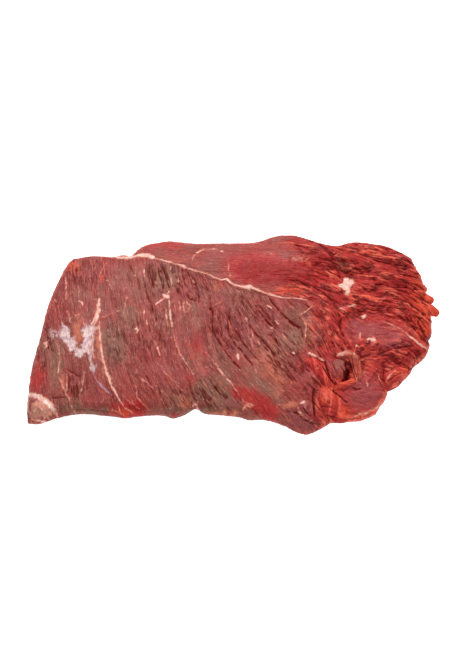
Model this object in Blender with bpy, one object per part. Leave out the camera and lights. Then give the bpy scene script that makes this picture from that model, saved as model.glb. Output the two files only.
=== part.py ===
import bpy
import numpy as np
from mathutils import Matrix, Vector

for thing in list(bpy.data.objects):
    bpy.data.objects.remove(thing, do_unlink=True)

# Sizes are in millimetres and become metres in the mesh
METRES = 0.001

# Corners of the slab in plan
FRONT_LEFT = (-153.2, -83.2)
BACK_LEFT = (-129.5, 72.2)
BACK_RIGHT = (146.2, 70.0)
FRONT_RIGHT = (108.4, -74.6)

# Swells and bays of each edge: where along the edge, half width, how far it moves the edge
LEFT_SWELLS = [(-84, 7, 1.9), (-6, 30, 5.0), (-4, 60, -13.5), (72, 9, 2.4)]
RIGHT_SWELLS = [
    (-58, 3, -1.3), (-54, 3, -5.1), (-32, 5, -2.7), (-10, 4, -2.4), (-2, 40, 23.7),
    (6, 30, -19.9), (6, 60, 32.8), (16, 12, 1.1), (54, 7, 1.3),
]
BACK_SWELLS = [
    (-118, 40, -21.7), (-116, 16, 7.9), (-102, 14, 1.4), (-82, 4, -3.6), (-70, 7, 2.3), (-54, 16, 4.1),
    (0, 22, 0.8), (44, 12, -7.8), (44, 16, 16.4), (82, 10, -2.6), (104, 12, 4.6), (130, 22, 17.1),
    (146, 40, -27.3),
]
FRONT_SWELLS = [
    (-144, 7, -1.9), (-116, 22, 5.4), (-80, 7, -1.4), (-44, 7, -3.3), (-28, 5, 4.8),
    (12, 4, -1.4), (26, 7, 1.3), (54, 12, -6.4), (66, 60, -20.3), (74, 5, 2.5),
    (90, 9, 0.9), (96, 9, -2.6),
]
EDGE_FADE = 2.2

# Grid of the top face
LENGTH = 300.0
DEPTH = 155.0
RIM_STEPS = [0.0, 0.9, 2.3, 4.4, 7.4]
GRID_STEP = 3.75

# Thickness of the layers and the roll of the rim
BACK_LAYER = 9.0
FRONT_MUSCLE = 5.6
RIGHT_HEAP = 5.6
SEAM_RUN = 4.6
RIM_ROLL = 7.5
RIM_SHARE = 0.42

# The seam between the front muscle and the back layer, left to right in plan
SEAM_START = (-130.0, 67.0)
SEAM_END = (84.0, 15.0)
SEAM_SWELLS = [(-86, 9, -4.2), (-66, 60, 21.8), (-42, 9, -1.5), (10, 9, -2.3), (52, 9, 1.1), (60, 22, 4.1)]

# Broad swells and hollows of the top: centre, half sizes, rise
TOP_SWELLS = [
    (-118, -20, 34, 46, 0.9),
    (-60, 10, 46, 40, 0.7),
    (10, -38, 40, 30, 1.0),
    (98, 4, 42, 34, 1.6),
    (122, -26, 26, 20, 0.9),
    (66, 68, 36, 20, 1.3),
    (51, -93, 15, 8, -7.0),
    (90, 50, 8, 8, -2.6),
    (88, -43, 6, 6, -6.0),
    (48, -22, 16, 12, 0.9),
    (70, -30, 22, 18, 1.2),
    (-26, -72, 9, 9, -1.6),
    (148, 24, 12, 20, -2.2),
]

# Ridges and grooves of the cut right half: half width, rise, stations in plan
TOP_STROKES = [
    (4.0, 1.9, [(59, 62), (69, 59), (78, 55)]),
    (3.8, 1.7, [(75, 73), (81, 69), (85, 63)]),
    (3.2, -1.5, [(65, 41), (76, 35), (86, 29)]),
    (3.4, -2.0, [(70, 26), (77, 14), (84, 12), (100, 11), (115, 9)]),
    (4.0, 1.5, [(80, 20), (96, 19), (112, 17)]),
    (3.0, -1.5, [(116, 62), (130, 58), (144, 56)]),
    (3.2, 1.2, [(112, 55), (128, 53), (142, 51)]),
    (3.0, -1.4, [(118, 50), (134, 48), (145, 46)]),
    (3.4, 1.2, [(104, 42), (118, 43), (134, 43)]),
    (3.0, -1.3, [(115, 37), (127, 38), (137, 38)]),
    (3.2, 1.1, [(112, 30), (124, 31), (136, 28)]),
    (3.0, -1.2, [(116, 23), (131, 18), (140, 6), (145, -10)]),
    (3.2, 1.3, [(108, 12), (122, 8), (131, -3), (135, -12)]),
    (3.0, -1.4, [(99, -28), (113, -23), (129, -19)]),
    (3.2, 1.2, [(104, -18), (118, -14), (132, -14)]),
    (3.0, -1.3, [(126, -27), (140, -25), (147, -23)]),
    (3.6, -2.2, [(114, -39), (113, -49), (110, -63)]),
    (4.0, 1.5, [(100, -34), (103, -48), (99, -62)]),
    (3.2, -1.2, [(-20, 66), (14, 62), (44, 60)]),
    (3.4, 0.9, [(-44, 78), (-8, 75), (30, 80)]),
    (3.0, -1.0, [(10, 46), (38, 44), (58, 46)]),
    (3.0, 1.0, [(-128, 66), (-112, 69), (-92, 68), (-72, 69), (-46, 60), (-16, 47), (12, 32), (44, 27)]),
]

# Muscle bundles of the front muscle, coarse enough for this mesh
BUNDLE_SPACING = 9.6
BUNDLE_RISE = 0.55

# Folds and lips: stations of (x, y, z, half width, half height), and the tilt in degrees
FOLDS = {
    "fat_corner": ([
        (-151.5, -65.0, 7.4, 3.0, 3.0), (-147.5, -69.5, 9.2, 6.8, 5.8),
        (-142.5, -74.5, 9.2, 7.4, 6.2), (-137.0, -79.5, 7.2, 3.4, 3.4),
    ], 0.0),
    "red_flap": ([
        (69.3, -57.2, 12.0, 3.4, 2.6), (70.4, -65.0, 12.6, 8.0, 4.8),
        (73.9, -72.4, 11.4, 12.4, 6.0), (76.0, -79.0, 7.8, 10.4, 4.8),
    ], 8.0),
    "fat_lump": ([
        (51.7, -67.6, 9.0, 3.0, 2.4), (55.3, -72.9, 10.2, 6.0, 3.8),
        (57.4, -77.4, 9.0, 6.4, 3.8), (59.7, -80.5, 6.8, 3.4, 2.6),
    ], 0.0),
    "long_ridge": ([
        (52.9, -28.3, 10.8, 2.8, 2.2), (58.7, -33.4, 12.8, 4.8, 3.6), (64.9, -39.6, 13.6, 6.0, 4.4),
        (70.3, -47.7, 13.4, 6.2, 4.6), (74.6, -55.6, 12.2, 5.0, 3.8), (77.1, -60.1, 10.6, 2.8, 2.4),
    ], 16.0),
    "rolled_lobe": ([
        (83.0, -30.4, 12.6, 3.2, 2.6), (80.6, -37.4, 14.6, 6.6, 4.6),
        (79.9, -44.6, 14.6, 7.0, 4.8), (82.4, -50.4, 12.0, 4.0, 3.2),
    ], -12.0),
    "bright_lip": ([
        (76.1, -57.5, 11.6, 2.4, 2.0), (81.3, -56.8, 13.6, 3.6, 3.0),
        (87.0, -54.9, 14.0, 3.8, 3.0), (92.6, -51.6, 12.4, 2.6, 2.0),
    ], 14.0),
    "tan_strip": ([
        (81.0, -30.9, 13.6, 2.6, 2.0), (87.1, -28.8, 15.0, 4.0, 3.0), (92.3, -31.4, 15.2, 4.4, 3.2),
        (94.6, -37.6, 15.0, 4.6, 3.2), (95.4, -45.4, 14.2, 4.4, 3.2), (97.0, -51.8, 12.6, 3.6, 2.6),
        (99.2, -56.2, 10.8, 2.2, 1.8),
    ], -8.0),
    "lobe_flap": ([
        (117.7, -53.4, 6.8, 3.0, 2.4), (120.0, -47.9, 10.0, 5.6, 4.0),
        (125.7, -42.4, 10.4, 6.0, 4.2), (132.4, -36.7, 8.2, 3.4, 2.6),
    ], 12.0),
    "upper_strand": ([
        (138.4, 42.1, 7.4, 4.4, 3.2), (147.9, 41.7, 7.0, 4.0, 2.8), (153.9, 40.2, 6.4, 3.0, 2.3),
        (157.1, 39.0, 5.8, 1.8, 1.5),
    ], 0.0),
    "middle_strand": ([
        (140.1, 33.8, 7.8, 4.6, 3.3), (150.3, 31.8, 7.0, 4.0, 2.9), (156.7, 30.1, 6.2, 3.2, 2.4),
        (160.2, 28.9, 5.6, 2.0, 1.7),
    ], 0.0),
    "lower_strand": ([
        (139.4, 24.5, 7.8, 4.8, 3.4), (149.6, 22.5, 7.2, 4.4, 3.0), (157.3, 19.0, 6.2, 3.4, 2.5),
        (162.2, 16.7, 5.4, 2.0, 1.7),
    ], 0.0),
}
RING_POINTS = 12
FOLD_SECTIONS = 12


def step(value):
    t = np.clip(value, 0.0, 1.0)
    return t * t * (3.0 - 2.0 * t)


def swollen(along, start, end, swells):
    """Value along a straight run from start to end with its swells, which fade to nothing at both ends."""
    def lifted(at):
        total = np.zeros_like(at)
        for where, width, rise in swells:
            total = total + rise * np.exp(-(((at - where) / width) ** 2))
        return total

    share = (along - start[0]) / (end[0] - start[0])
    ends = lifted(np.array([float(start[0]), float(end[0])]))
    return start[1] + (end[1] - start[1]) * share + lifted(along) - ends[0] * (1 - share) - ends[1] * share


def front_edge(u):
    x = FRONT_LEFT[0] + (FRONT_RIGHT[0] - FRONT_LEFT[0]) * u
    return np.stack([x, swollen(x, FRONT_LEFT, FRONT_RIGHT, FRONT_SWELLS)], -1)


def back_edge(u):
    x = BACK_LEFT[0] + (BACK_RIGHT[0] - BACK_LEFT[0]) * u
    return np.stack([x, swollen(x, BACK_LEFT, BACK_RIGHT, BACK_SWELLS)], -1)


def left_edge(v):
    y = FRONT_LEFT[1] + (BACK_LEFT[1] - FRONT_LEFT[1]) * v
    return np.stack([swollen(y, FRONT_LEFT[::-1], BACK_LEFT[::-1], LEFT_SWELLS), y], -1)


def right_edge(v):
    y = FRONT_RIGHT[1] + (BACK_RIGHT[1] - FRONT_RIGHT[1]) * v
    return np.stack([swollen(y, FRONT_RIGHT[::-1], BACK_RIGHT[::-1], RIGHT_SWELLS), y], -1)


def plan(u, v):
    """Plan point for a share u from left to right and a share v from front to back."""
    u = np.asarray(u, float)
    v = np.asarray(v, float)
    uu = u[..., None]
    vv = v[..., None]
    front_line = np.array(FRONT_LEFT) * (1 - uu) + np.array(FRONT_RIGHT) * uu
    back_line = np.array(BACK_LEFT) * (1 - uu) + np.array(BACK_RIGHT) * uu
    left_line = np.array(FRONT_LEFT) * (1 - vv) + np.array(BACK_LEFT) * vv
    right_line = np.array(FRONT_RIGHT) * (1 - vv) + np.array(BACK_RIGHT) * vv
    point = front_line * (1 - vv) + back_line * vv
    point = point + (front_edge(u) - front_line) * (1 - vv) ** EDGE_FADE
    point = point + (back_edge(u) - back_line) * vv ** EDGE_FADE
    point = point + (left_edge(v) - left_line) * (1 - uu) ** EDGE_FADE
    return point + (right_edge(v) - right_line) * uu ** EDGE_FADE


def distance_to_line(x, y, stations):
    nearest = np.full(np.shape(x), 1e9)
    for (ax, ay), (bx, by) in zip(stations[:-1], stations[1:]):
        run = (bx - ax) ** 2 + (by - ay) ** 2
        t = np.clip(((x - ax) * (bx - ax) + (y - ay) * (by - ay)) / run, 0.0, 1.0)
        nearest = np.minimum(nearest, np.hypot(x - ax - t * (bx - ax), y - ay - t * (by - ay)))
    return nearest


def bundle_slant(x, y):
    """How far a muscle bundle moves right for each millimetre that it runs to the front."""
    slant = 0.10 + 0.26 * step((x + 120.0) / 120.0) + 0.42 * step((x + 20.0) / 80.0)
    return slant + 0.14 * step((20.0 - y) / 90.0)


def bundle_place(x, y):
    """The x at which the bundle through this point crosses the back of the front muscle."""
    steps = 16
    at = np.array(x, float)
    run = (60.0 - y) / steps
    for index in range(steps):
        at = at - bundle_slant(at, y + run * index) * run
    return at


def thickness(x, y):
    seam = swollen(x, SEAM_START, SEAM_END, SEAM_SWELLS)
    in_front = step((seam - y) / SEAM_RUN + 0.5)
    heap = step((x - 24.0) / 62.0)
    rise = BACK_LAYER + FRONT_MUSCLE * in_front * (1.0 - heap) + RIGHT_HEAP * heap
    for cx, cy, wide, deep, lift in TOP_SWELLS:
        rise = rise + lift * np.exp(-(((x - cx) / wide) ** 2) - ((y - cy) / deep) ** 2)
    for width, lift, stations in TOP_STROKES:
        rise = rise + lift * np.exp(-((distance_to_line(x, y, stations) / width) ** 2))
    place = bundle_place(x, y)
    wave = np.sin(2 * np.pi * place / BUNDLE_SPACING + 1.4 * np.sin(y / 19.0 + place / 31.0))
    swell = 0.55 + 0.45 * np.sin(y / 13.0 + 3.1 * np.sin(place / 17.0))
    return rise + BUNDLE_RISE * wave * swell * in_front * (1.0 - step((x - 50.0) / 30.0))


def rim_shares(length):
    count = round((length - 2 * RIM_STEPS[-1]) / GRID_STEP)
    inner = np.linspace(RIM_STEPS[-1], length - RIM_STEPS[-1], count + 1)
    ends = np.array(RIM_STEPS[:-1])
    return np.concatenate([ends, inner, length - ends[::-1]]) / length


def slab():
    """The closed slab: a shaped top, a rolled rim and a flat underside."""
    us = rim_shares(LENGTH)
    vs = rim_shares(DEPTH)
    grid_u, grid_v = np.meshgrid(us, vs)
    points = plan(grid_u, grid_v)
    x = points[..., 0]
    y = points[..., 1]
    rows, columns = grid_u.shape
    rim = [(0, i) for i in range(columns - 1)]
    rim += [(j, columns - 1) for j in range(rows - 1)]
    rim += [(rows - 1, i) for i in range(columns - 1, 0, -1)]
    rim += [(j, 0) for j in range(rows - 1, 0, -1)]
    rim_rows = np.array([j for j, i in rim])
    rim_columns = np.array([i for j, i in rim])
    outline = [tuple(points[j, i]) for j, i in rim]
    inward = distance_to_line(x, y, outline + outline[:1])
    top = thickness(x, y)
    roll = np.sqrt(1.0 - (1.0 - np.clip(inward / RIM_ROLL, 0.0, 1.0)) ** 2)
    z = top * (RIM_SHARE + (1.0 - RIM_SHARE) * roll)

    verts = np.stack([x, y, z], -1).reshape(-1, 3).tolist()
    faces = []
    for j in range(rows - 1):
        for i in range(columns - 1):
            corner = j * columns + i
            faces.append((corner, corner + 1, corner + columns + 1, corner + columns))
    last = [j * columns + i for j, i in rim]
    edge_z = z[rim_rows, rim_columns]
    for inset, share in [(0.5, 0.45), (1.6, 0.14), (3.4, 0.0)]:
        u = inset / LENGTH + us[rim_columns] * (1 - 2 * inset / LENGTH)
        v = inset / DEPTH + vs[rim_rows] * (1 - 2 * inset / DEPTH)
        ring = plan(u, v)
        start = len(verts)
        verts += [(p[0], p[1], h * share) for p, h in zip(ring, edge_z)]
        current = list(range(start, start + len(rim)))
        for k in range(len(rim)):
            after = (k + 1) % len(rim)
            faces.append((last[k], current[k], current[after], last[after]))
        last = current
    faces.append(tuple(reversed(last)))
    return verts, faces


def smooth_stations(stations, count):
    """Stations along a smooth curve through the given ones."""
    known = np.array(stations, float)
    padded = np.concatenate([2 * known[:1] - known[1:2], known, 2 * known[-1:] - known[-2:-1]])
    result = []
    for place in np.linspace(0, len(known) - 1, count):
        k = min(int(place), len(known) - 2)
        t = place - k
        a, b, c, d = padded[k:k + 4]
        result.append(0.5 * (2 * b + (c - a) * t + (2 * a - 5 * b + 4 * c - d) * t * t
                             + (3 * b - a - 3 * c + d) * t ** 3))
    return np.array(result)


def fold(stations, tilt):
    """A closed lobe of meat or fat along its stations, round in section and closed at both ends."""
    run = smooth_stations(stations, FOLD_SECTIONS)
    verts = []
    faces = []
    angle = np.radians(tilt)
    for k in range(FOLD_SECTIONS):
        before = run[max(k - 1, 0)][:3]
        after = run[min(k + 1, FOLD_SECTIONS - 1)][:3]
        forward = Vector(after - before).normalized()
        side = forward.cross(Vector((0, 0, 1))).normalized()
        up = side.cross(forward).normalized()
        across = side * np.cos(angle) + up * np.sin(angle)
        rising = up * np.cos(angle) - side * np.sin(angle)
        x, y, z, wide, high = run[k]
        for m in range(RING_POINTS):
            turn = 2 * np.pi * m / RING_POINTS
            verts.append(tuple(Vector((x, y, z)) + across * (wide * np.cos(turn)) + rising * (high * np.sin(turn))))
    for k in range(FOLD_SECTIONS - 1):
        for m in range(RING_POINTS):
            a = k * RING_POINTS + m
            b = k * RING_POINTS + (m + 1) % RING_POINTS
            faces.append((a, a + RING_POINTS, b + RING_POINTS, b))
    for k, ahead in [(0, -1), (FOLD_SECTIONS - 1, 1)]:
        here = Vector(run[k][:3])
        inner = Vector(run[k - ahead][:3])
        tip = here + (here - inner).normalized() * float(run[k][3]) * 0.7
        verts.append(tuple(tip))
        for m in range(RING_POINTS):
            a = k * RING_POINTS + m
            b = k * RING_POINTS + (m + 1) % RING_POINTS
            faces.append((a, b, len(verts) - 1) if ahead < 0 else (b, a, len(verts) - 1))
    return verts, faces


def made(name, verts, faces):
    mesh = bpy.data.meshes.new(name)
    mesh.from_pydata([[c * METRES for c in v] for v in verts], [], faces)
    mesh.validate()
    return bpy.data.objects.new(name, mesh)


def turned_out(obj):
    bpy.ops.object.select_all(action="DESELECT")
    obj.select_set(True)
    bpy.context.view_layer.objects.active = obj
    bpy.ops.object.mode_set(mode="EDIT")
    bpy.ops.mesh.select_all(action="SELECT")
    bpy.ops.mesh.normals_make_consistent(inside=False)
    bpy.ops.object.mode_set(mode="OBJECT")


meat = made("meat", *slab())
bpy.context.scene.collection.objects.link(meat)
turned_out(meat)

# Every fold and lip is fused into the slab by one union
lobes = bpy.data.collections.new("lobes")
bpy.context.scene.collection.children.link(lobes)
for name, (stations, tilt) in FOLDS.items():
    lobe = made(name, *fold(stations, tilt))
    lobes.objects.link(lobe)
    turned_out(lobe)
union = meat.modifiers.new("fused", "BOOLEAN")
union.operation = "UNION"
union.operand_type = "COLLECTION"
union.collection = lobes
union.solver = "EXACT"
bpy.ops.object.select_all(action="DESELECT")
meat.select_set(True)
bpy.context.view_layer.objects.active = meat
bpy.ops.object.modifier_apply(modifier=union.name)
for lobe in list(lobes.objects):
    bpy.data.objects.remove(lobe, do_unlink=True)
bpy.data.collections.remove(lobes)

# The row stands on its underside, centred in plan
corners = np.array([tuple(v.co) for v in meat.data.vertices])
low = corners.min(0)
high = corners.max(0)
middle = Vector((-(low[0] + high[0]) / 2, -(low[1] + high[1]) / 2, -low[2]))
meat.data.transform(Matrix.Translation(middle))

# Raw beef, set back in a dull moist red
surface = bpy.data.materials.new("raw_beef")
surface.use_nodes = True
shader = surface.node_tree.nodes["Principled BSDF"]
shader.inputs["Base Color"].default_value = (0.31, 0.066, 0.062, 1.0)
shader.inputs["Roughness"].default_value = 0.42
meat.data.materials.clear()
meat.data.materials.append(surface)
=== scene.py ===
import math
import bpy
import numpy as np
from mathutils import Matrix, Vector


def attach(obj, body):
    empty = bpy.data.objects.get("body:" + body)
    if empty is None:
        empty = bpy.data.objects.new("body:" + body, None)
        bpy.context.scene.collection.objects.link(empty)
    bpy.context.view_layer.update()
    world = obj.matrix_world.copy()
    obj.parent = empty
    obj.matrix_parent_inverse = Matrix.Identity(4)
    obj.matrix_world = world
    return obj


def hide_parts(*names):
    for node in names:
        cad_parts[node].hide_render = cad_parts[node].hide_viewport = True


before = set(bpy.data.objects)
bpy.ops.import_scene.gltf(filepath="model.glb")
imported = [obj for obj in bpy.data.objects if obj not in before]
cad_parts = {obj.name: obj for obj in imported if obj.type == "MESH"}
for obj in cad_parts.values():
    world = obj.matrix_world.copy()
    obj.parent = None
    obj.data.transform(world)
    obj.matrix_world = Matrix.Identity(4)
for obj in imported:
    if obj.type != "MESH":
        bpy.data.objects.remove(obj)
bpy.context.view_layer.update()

mm = 0.001
farAway = 1e9  # mm, more than any distance here

# The camera stands in front of the slab and looks down on it
view = {
    "elevation": 55.0,
    "distance": 1100.0,
    "target": (-9.9, 7.6, 0.0),
    "mmPerPixel": 0.79,
    "imageWide": 450,
    "imageHigh": 650,
    "sensor": 36.0,
}
tilt = math.radians(view["elevation"])
viewBack = np.array([0.0, -math.cos(tilt), math.sin(tilt)])
viewUp = np.array([0.0, math.sin(tilt), math.cos(tilt)])
viewAt = np.array(view["target"]) + viewBack * view["distance"]
focalPixels = view["distance"] / view["mmPerPixel"]


def onPhoto(x, y, z):  # where a point, in mm, shows in the picture
    away = np.stack([x - viewAt[0], y - viewAt[1], z - viewAt[2]], -1)
    depth = -(away @ viewBack)
    across = view["imageWide"] / 2 + focalPixels * away[..., 0] / depth
    down = view["imageHigh"] / 2 - focalPixels * (away @ viewUp) / depth
    return across, down


def makeCamera():
    data = bpy.data.cameras.new("camera")
    data.sensor_width = view["sensor"]
    data.lens = focalPixels * view["sensor"] / view["imageHigh"]
    data.clip_start = 0.01
    data.clip_end = 20.0
    camera = bpy.data.objects.new("camera", data)
    bpy.context.scene.collection.objects.link(camera)
    camera.location = Vector(viewAt * mm)
    camera.rotation_euler = (math.radians(90.0 - view["elevation"]), 0.0, 0.0)
    bpy.context.scene.camera = camera


# Smooth noise and small helpers
def hashed(ix, iy, seed):
    n = (ix * 374761393 + iy * 668265263 + seed * 974634777) & 0xFFFFFFFF
    n = ((n ^ (n >> 13)) * 1274126177) & 0xFFFFFFFF
    return ((n ^ (n >> 16)) & 0xFFFF) / 65536.0


def noise(x, y, seed):  # about -1 to 1, smooth
    ix = np.floor(x).astype(np.int64)
    iy = np.floor(y).astype(np.int64)
    fx = x - ix
    fy = y - iy
    sx = fx * fx * fx * (fx * (fx * 6 - 15) + 10)
    sy = fy * fy * fy * (fy * (fy * 6 - 15) + 10)
    corners = [(0, 0, (1 - sx) * (1 - sy)), (1, 0, sx * (1 - sy)), (0, 1, (1 - sx) * sy), (1, 1, sx * sy)]
    total = 0.0
    for dx, dy, weight in corners:
        turn = hashed(ix + dx, iy + dy, seed) * 2 * np.pi
        total = total + weight * (np.cos(turn) * (fx - dx) + np.sin(turn) * (fy - dy))
    return total * 1.55


def layered(x, y, seed, layers=3):
    total = 0.0
    for k in range(layers):
        total = total + noise(x * 2 ** k, y * 2 ** k, seed + 17 * k) / 2 ** k
    return total


def ease(value):
    t = np.clip(value, 0.0, 1.0)
    return t * t * (3.0 - 2.0 * t)


def toStroke(x, y, places):  # distance to a line of places, and how far along it
    nearest = np.full(x.shape, farAway)
    along = np.zeros(x.shape)
    count = len(places) - 1
    for k in range(count):
        (ax, ay), (bx, by) = places[k], places[k + 1]
        run = (bx - ax) ** 2 + (by - ay) ** 2
        t = np.clip(((x - ax) * (bx - ax) + (y - ay) * (by - ay)) / run, 0.0, 1.0)
        d = np.hypot(x - ax - t * (bx - ax), y - ay - t * (by - ay))
        closer = d < nearest
        nearest = np.where(closer, d, nearest)
        along = np.where(closer, (k + t) / count, along)
    return nearest, along


def strokeField(x, y, groups):  # the strongest stroke at each point, thin at both ends
    field = np.zeros(x.shape)
    for width, strength, *strokes in groups:
        for stroke in strokes:
            low, high = stroke.min(0) - width * 3.0, stroke.max(0) + width * 3.0
            near = (x > low[0]) & (x < high[0]) & (y > low[1]) & (y < high[1])
            if near.any():
                d, along = toStroke(x[near], y[near], stroke)
                thin = 0.45 + 0.55 * np.sqrt(np.clip(1.0 - (2.0 * along - 1.0) ** 4, 0.0, 1.0))
                here = strength * np.exp(-((d / np.maximum(width * thin, 0.8)) ** 2))
                field[near] = np.maximum(field[near], here)
    return field


def fromSteps(steps):  # the places of a stroke
    return np.round(np.cumsum(np.reshape(steps, (-1, 2)), 0), 1)


def blotchField(x, y, blotches):  # sum of soft ovals: centre, half sizes, turn, strength
    field = np.zeros(x.shape)
    for cx, cy, wide, high, turn, strength in blotches:
        c, s = math.cos(math.radians(turn)), math.sin(math.radians(turn))
        a = ((x - cx) * c + (y - cy) * s) / wide
        b = ((y - cy) * c - (x - cx) * s) / high
        field = field + strength * np.exp(-(a * a + b * b) ** 1.5)
    return field


# The slab's own outline and thickness, in mm, the same forms as the solid's
slab = {
    "centre": (4.44, 2.08),
    "frontLeft": (-153.2, -83.2),
    "backLeft": (-129.5, 72.2),
    "backRight": (146.2, 70.0),
    "frontRight": (108.4, -74.6),
    "leftSwells": [(-84, 7, 1.9), (-6, 30, 5.0), (-4, 60, -13.5), (72, 9, 2.4)],
    "rightSwells": [
        (-58, 3, -1.3), (-54, 3, -5.1), (-32, 5, -2.7), (-10, 4, -2.4), (-2, 40, 23.7),
        (6, 30, -19.9), (6, 60, 32.8), (16, 12, 1.1), (54, 7, 1.3),
    ],
    "backSwells": [
        (-118, 40, -21.7), (-116, 16, 7.9), (-102, 14, 1.4), (-82, 4, -3.6), (-70, 7, 2.3),
        (-54, 16, 4.1), (0, 22, 0.8), (44, 12, -7.8), (44, 16, 16.4), (82, 10, -2.6),
        (104, 12, 4.6), (130, 22, 17.1), (146, 40, -27.3),
    ],
    "frontSwells": [
        (-144, 7, -1.9), (-116, 22, 5.4), (-80, 7, -1.4), (-44, 7, -3.3), (-28, 5, 4.8),
        (12, 4, -1.4), (26, 7, 1.3), (54, 12, -6.4), (66, 60, -20.3), (74, 5, 2.5),
        (90, 9, 0.9), (96, 9, -2.6),
    ],
    "edgeFade": 2.2,
    "ragged": 0.35,
    "raggedSide": 0.7,
    "seamStart": (-130.0, 67.0),
    "seamEnd": (84.0, 15.0),
    "seamSwells": [
        (-86, 9, -4.2), (-66, 60, 21.8), (-42, 9, -1.5), (10, 9, -2.3), (52, 9, 1.1), (60, 22, 4.1),
    ],
    "backLayer": 9.0,
    "frontMuscle": 5.6,
    "rightHeap": 5.6,
    "seamRun": 2.6,
    "seamDrop": 9.0,  # pixels, how far it falls left of its first place
    "heapStart": 24.0,
    "heapRun": 62.0,
    "rimRoll": 6.0,
    "slopeRun": 20.0,
    "slopeShare": 0.28,
    "rimShare": 0.36,
    "turnedUnder": [(0.25, 0.72), (0.6, 0.42), (1.4, 0.16), (3.4, 0.0)],  # inset and share of the rim's height
    "reliefFade": 6.0,
    "thinRim": 4.5,
    "topSwells": [
        (-118, -20, 34, 46, 0.9), (-60, 10, 46, 40, 0.7), (10, -38, 40, 30, 1.0),
        (98, 4, 42, 34, 1.6), (122, -26, 26, 20, 0.9), (66, 68, 36, 20, 1.3),
        (51, -93, 15, 8, -7.0), (90, 50, 8, 8, -2.6), (88, -43, 6, 6, -6.0),
        (48, -22, 16, 12, 0.9), (70, -30, 22, 18, 1.2), (-26, -72, 9, 9, -1.6),
        (148, 24, 12, 20, -2.2),
    ],
    "outlinePoints": 500,
    "meshAcross": 412,
    "meshDeep": 214,
    "length": 300.0,
    "depth": 155.0,
}


def swollen(along, start, end, swells):
    def lifted(at):
        total = np.zeros_like(at)
        for where, width, rise in swells:
            total = total + rise * np.exp(-(((at - where) / width) ** 2))
        return total

    share = (along - start[0]) / (end[0] - start[0])
    ends = lifted(np.array([float(start[0]), float(end[0])]))
    straight = start[1] + (end[1] - start[1]) * share
    return straight + lifted(along) - ends[0] * (1 - share) - ends[1] * share


def edgePoints(share, start, end, swells, upright):
    fade = ease(share / 0.03) * ease((1.0 - share) / 0.03)
    if upright:
        y = start[1] + (end[1] - start[1]) * share
        rag = slab["raggedSide"] if start[0] > 0 else slab["ragged"]
        x = swollen(y, start[::-1], end[::-1], swells)
        return np.stack([x + rag * fade * layered(y / 5.0, y * 0.0, 17), y], -1)
    x = start[0] + (end[0] - start[0]) * share
    y = swollen(x, start, end, swells)
    return np.stack([x, y + slab["ragged"] * fade * layered(x / 6.0, x * 0.0, 37)], -1)


def planAt(u, v):  # plan point for a share from left to right and a share from front to back
    fl, fr = np.array(slab["frontLeft"]), np.array(slab["frontRight"])
    bl, br = np.array(slab["backLeft"]), np.array(slab["backRight"])
    uu, vv = u[..., None], v[..., None]
    frontLine, backLine = fl * (1 - uu) + fr * uu, bl * (1 - uu) + br * uu
    leftLine, rightLine = fl * (1 - vv) + bl * vv, fr * (1 - vv) + br * vv
    fade = slab["edgeFade"]
    point = frontLine * (1 - vv) + backLine * vv
    point = point + (edgePoints(u, fl, fr, slab["frontSwells"], False) - frontLine) * (1 - vv) ** fade
    point = point + (edgePoints(u, bl, br, slab["backSwells"], False) - backLine) * vv ** fade
    point = point + (edgePoints(v, fl, bl, slab["leftSwells"], True) - leftLine) * (1 - uu) ** fade
    return point + (edgePoints(v, fr, br, slab["rightSwells"], True) - rightLine) * uu ** fade


def seamAt(x):
    return swollen(x, slab["seamStart"], slab["seamEnd"], slab["seamSwells"])


def broadThickness(x, y):
    inFront = ease((seamAt(x) - y) / slab["seamRun"] + 0.5)
    heap = ease((x - slab["heapStart"]) / slab["heapRun"])
    rise = slab["backLayer"] + slab["frontMuscle"] * inFront * (1.0 - heap) + slab["rightHeap"] * heap
    for cx, cy, wide, deep, lift in slab["topSwells"]:
        rise = rise + lift * np.exp(-(((x - cx) / wide) ** 2) - ((y - cy) / deep) ** 2)
    return rise


# The line of fat between the front muscle and the layer behind it, in picture places
seamLine = np.array([
    (96, 254), (104, 254.6), (113, 256), (121, 258), (130, 257.4), (138, 255.7), (147, 256), (155, 258),
    (164, 260.6), (173, 263), (181, 265.6), (190, 268.9), (198, 271.4), (207, 273.9), (214, 277), (221, 279.6),
    (227, 279), (230, 282.4), (235, 285.3), (244, 286.7), (250, 286), (255, 288.9), (264, 292.4), (273, 295.3),
    (281, 297.4), (290, 298), (298, 298.4), (307, 299.6),
])
seamFat = [(1, 0.68, seamLine), (1.3, 0.9, seamLine[:7]), (1.2, 0.92, seamLine[15:25])]  # width, strength


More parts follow.
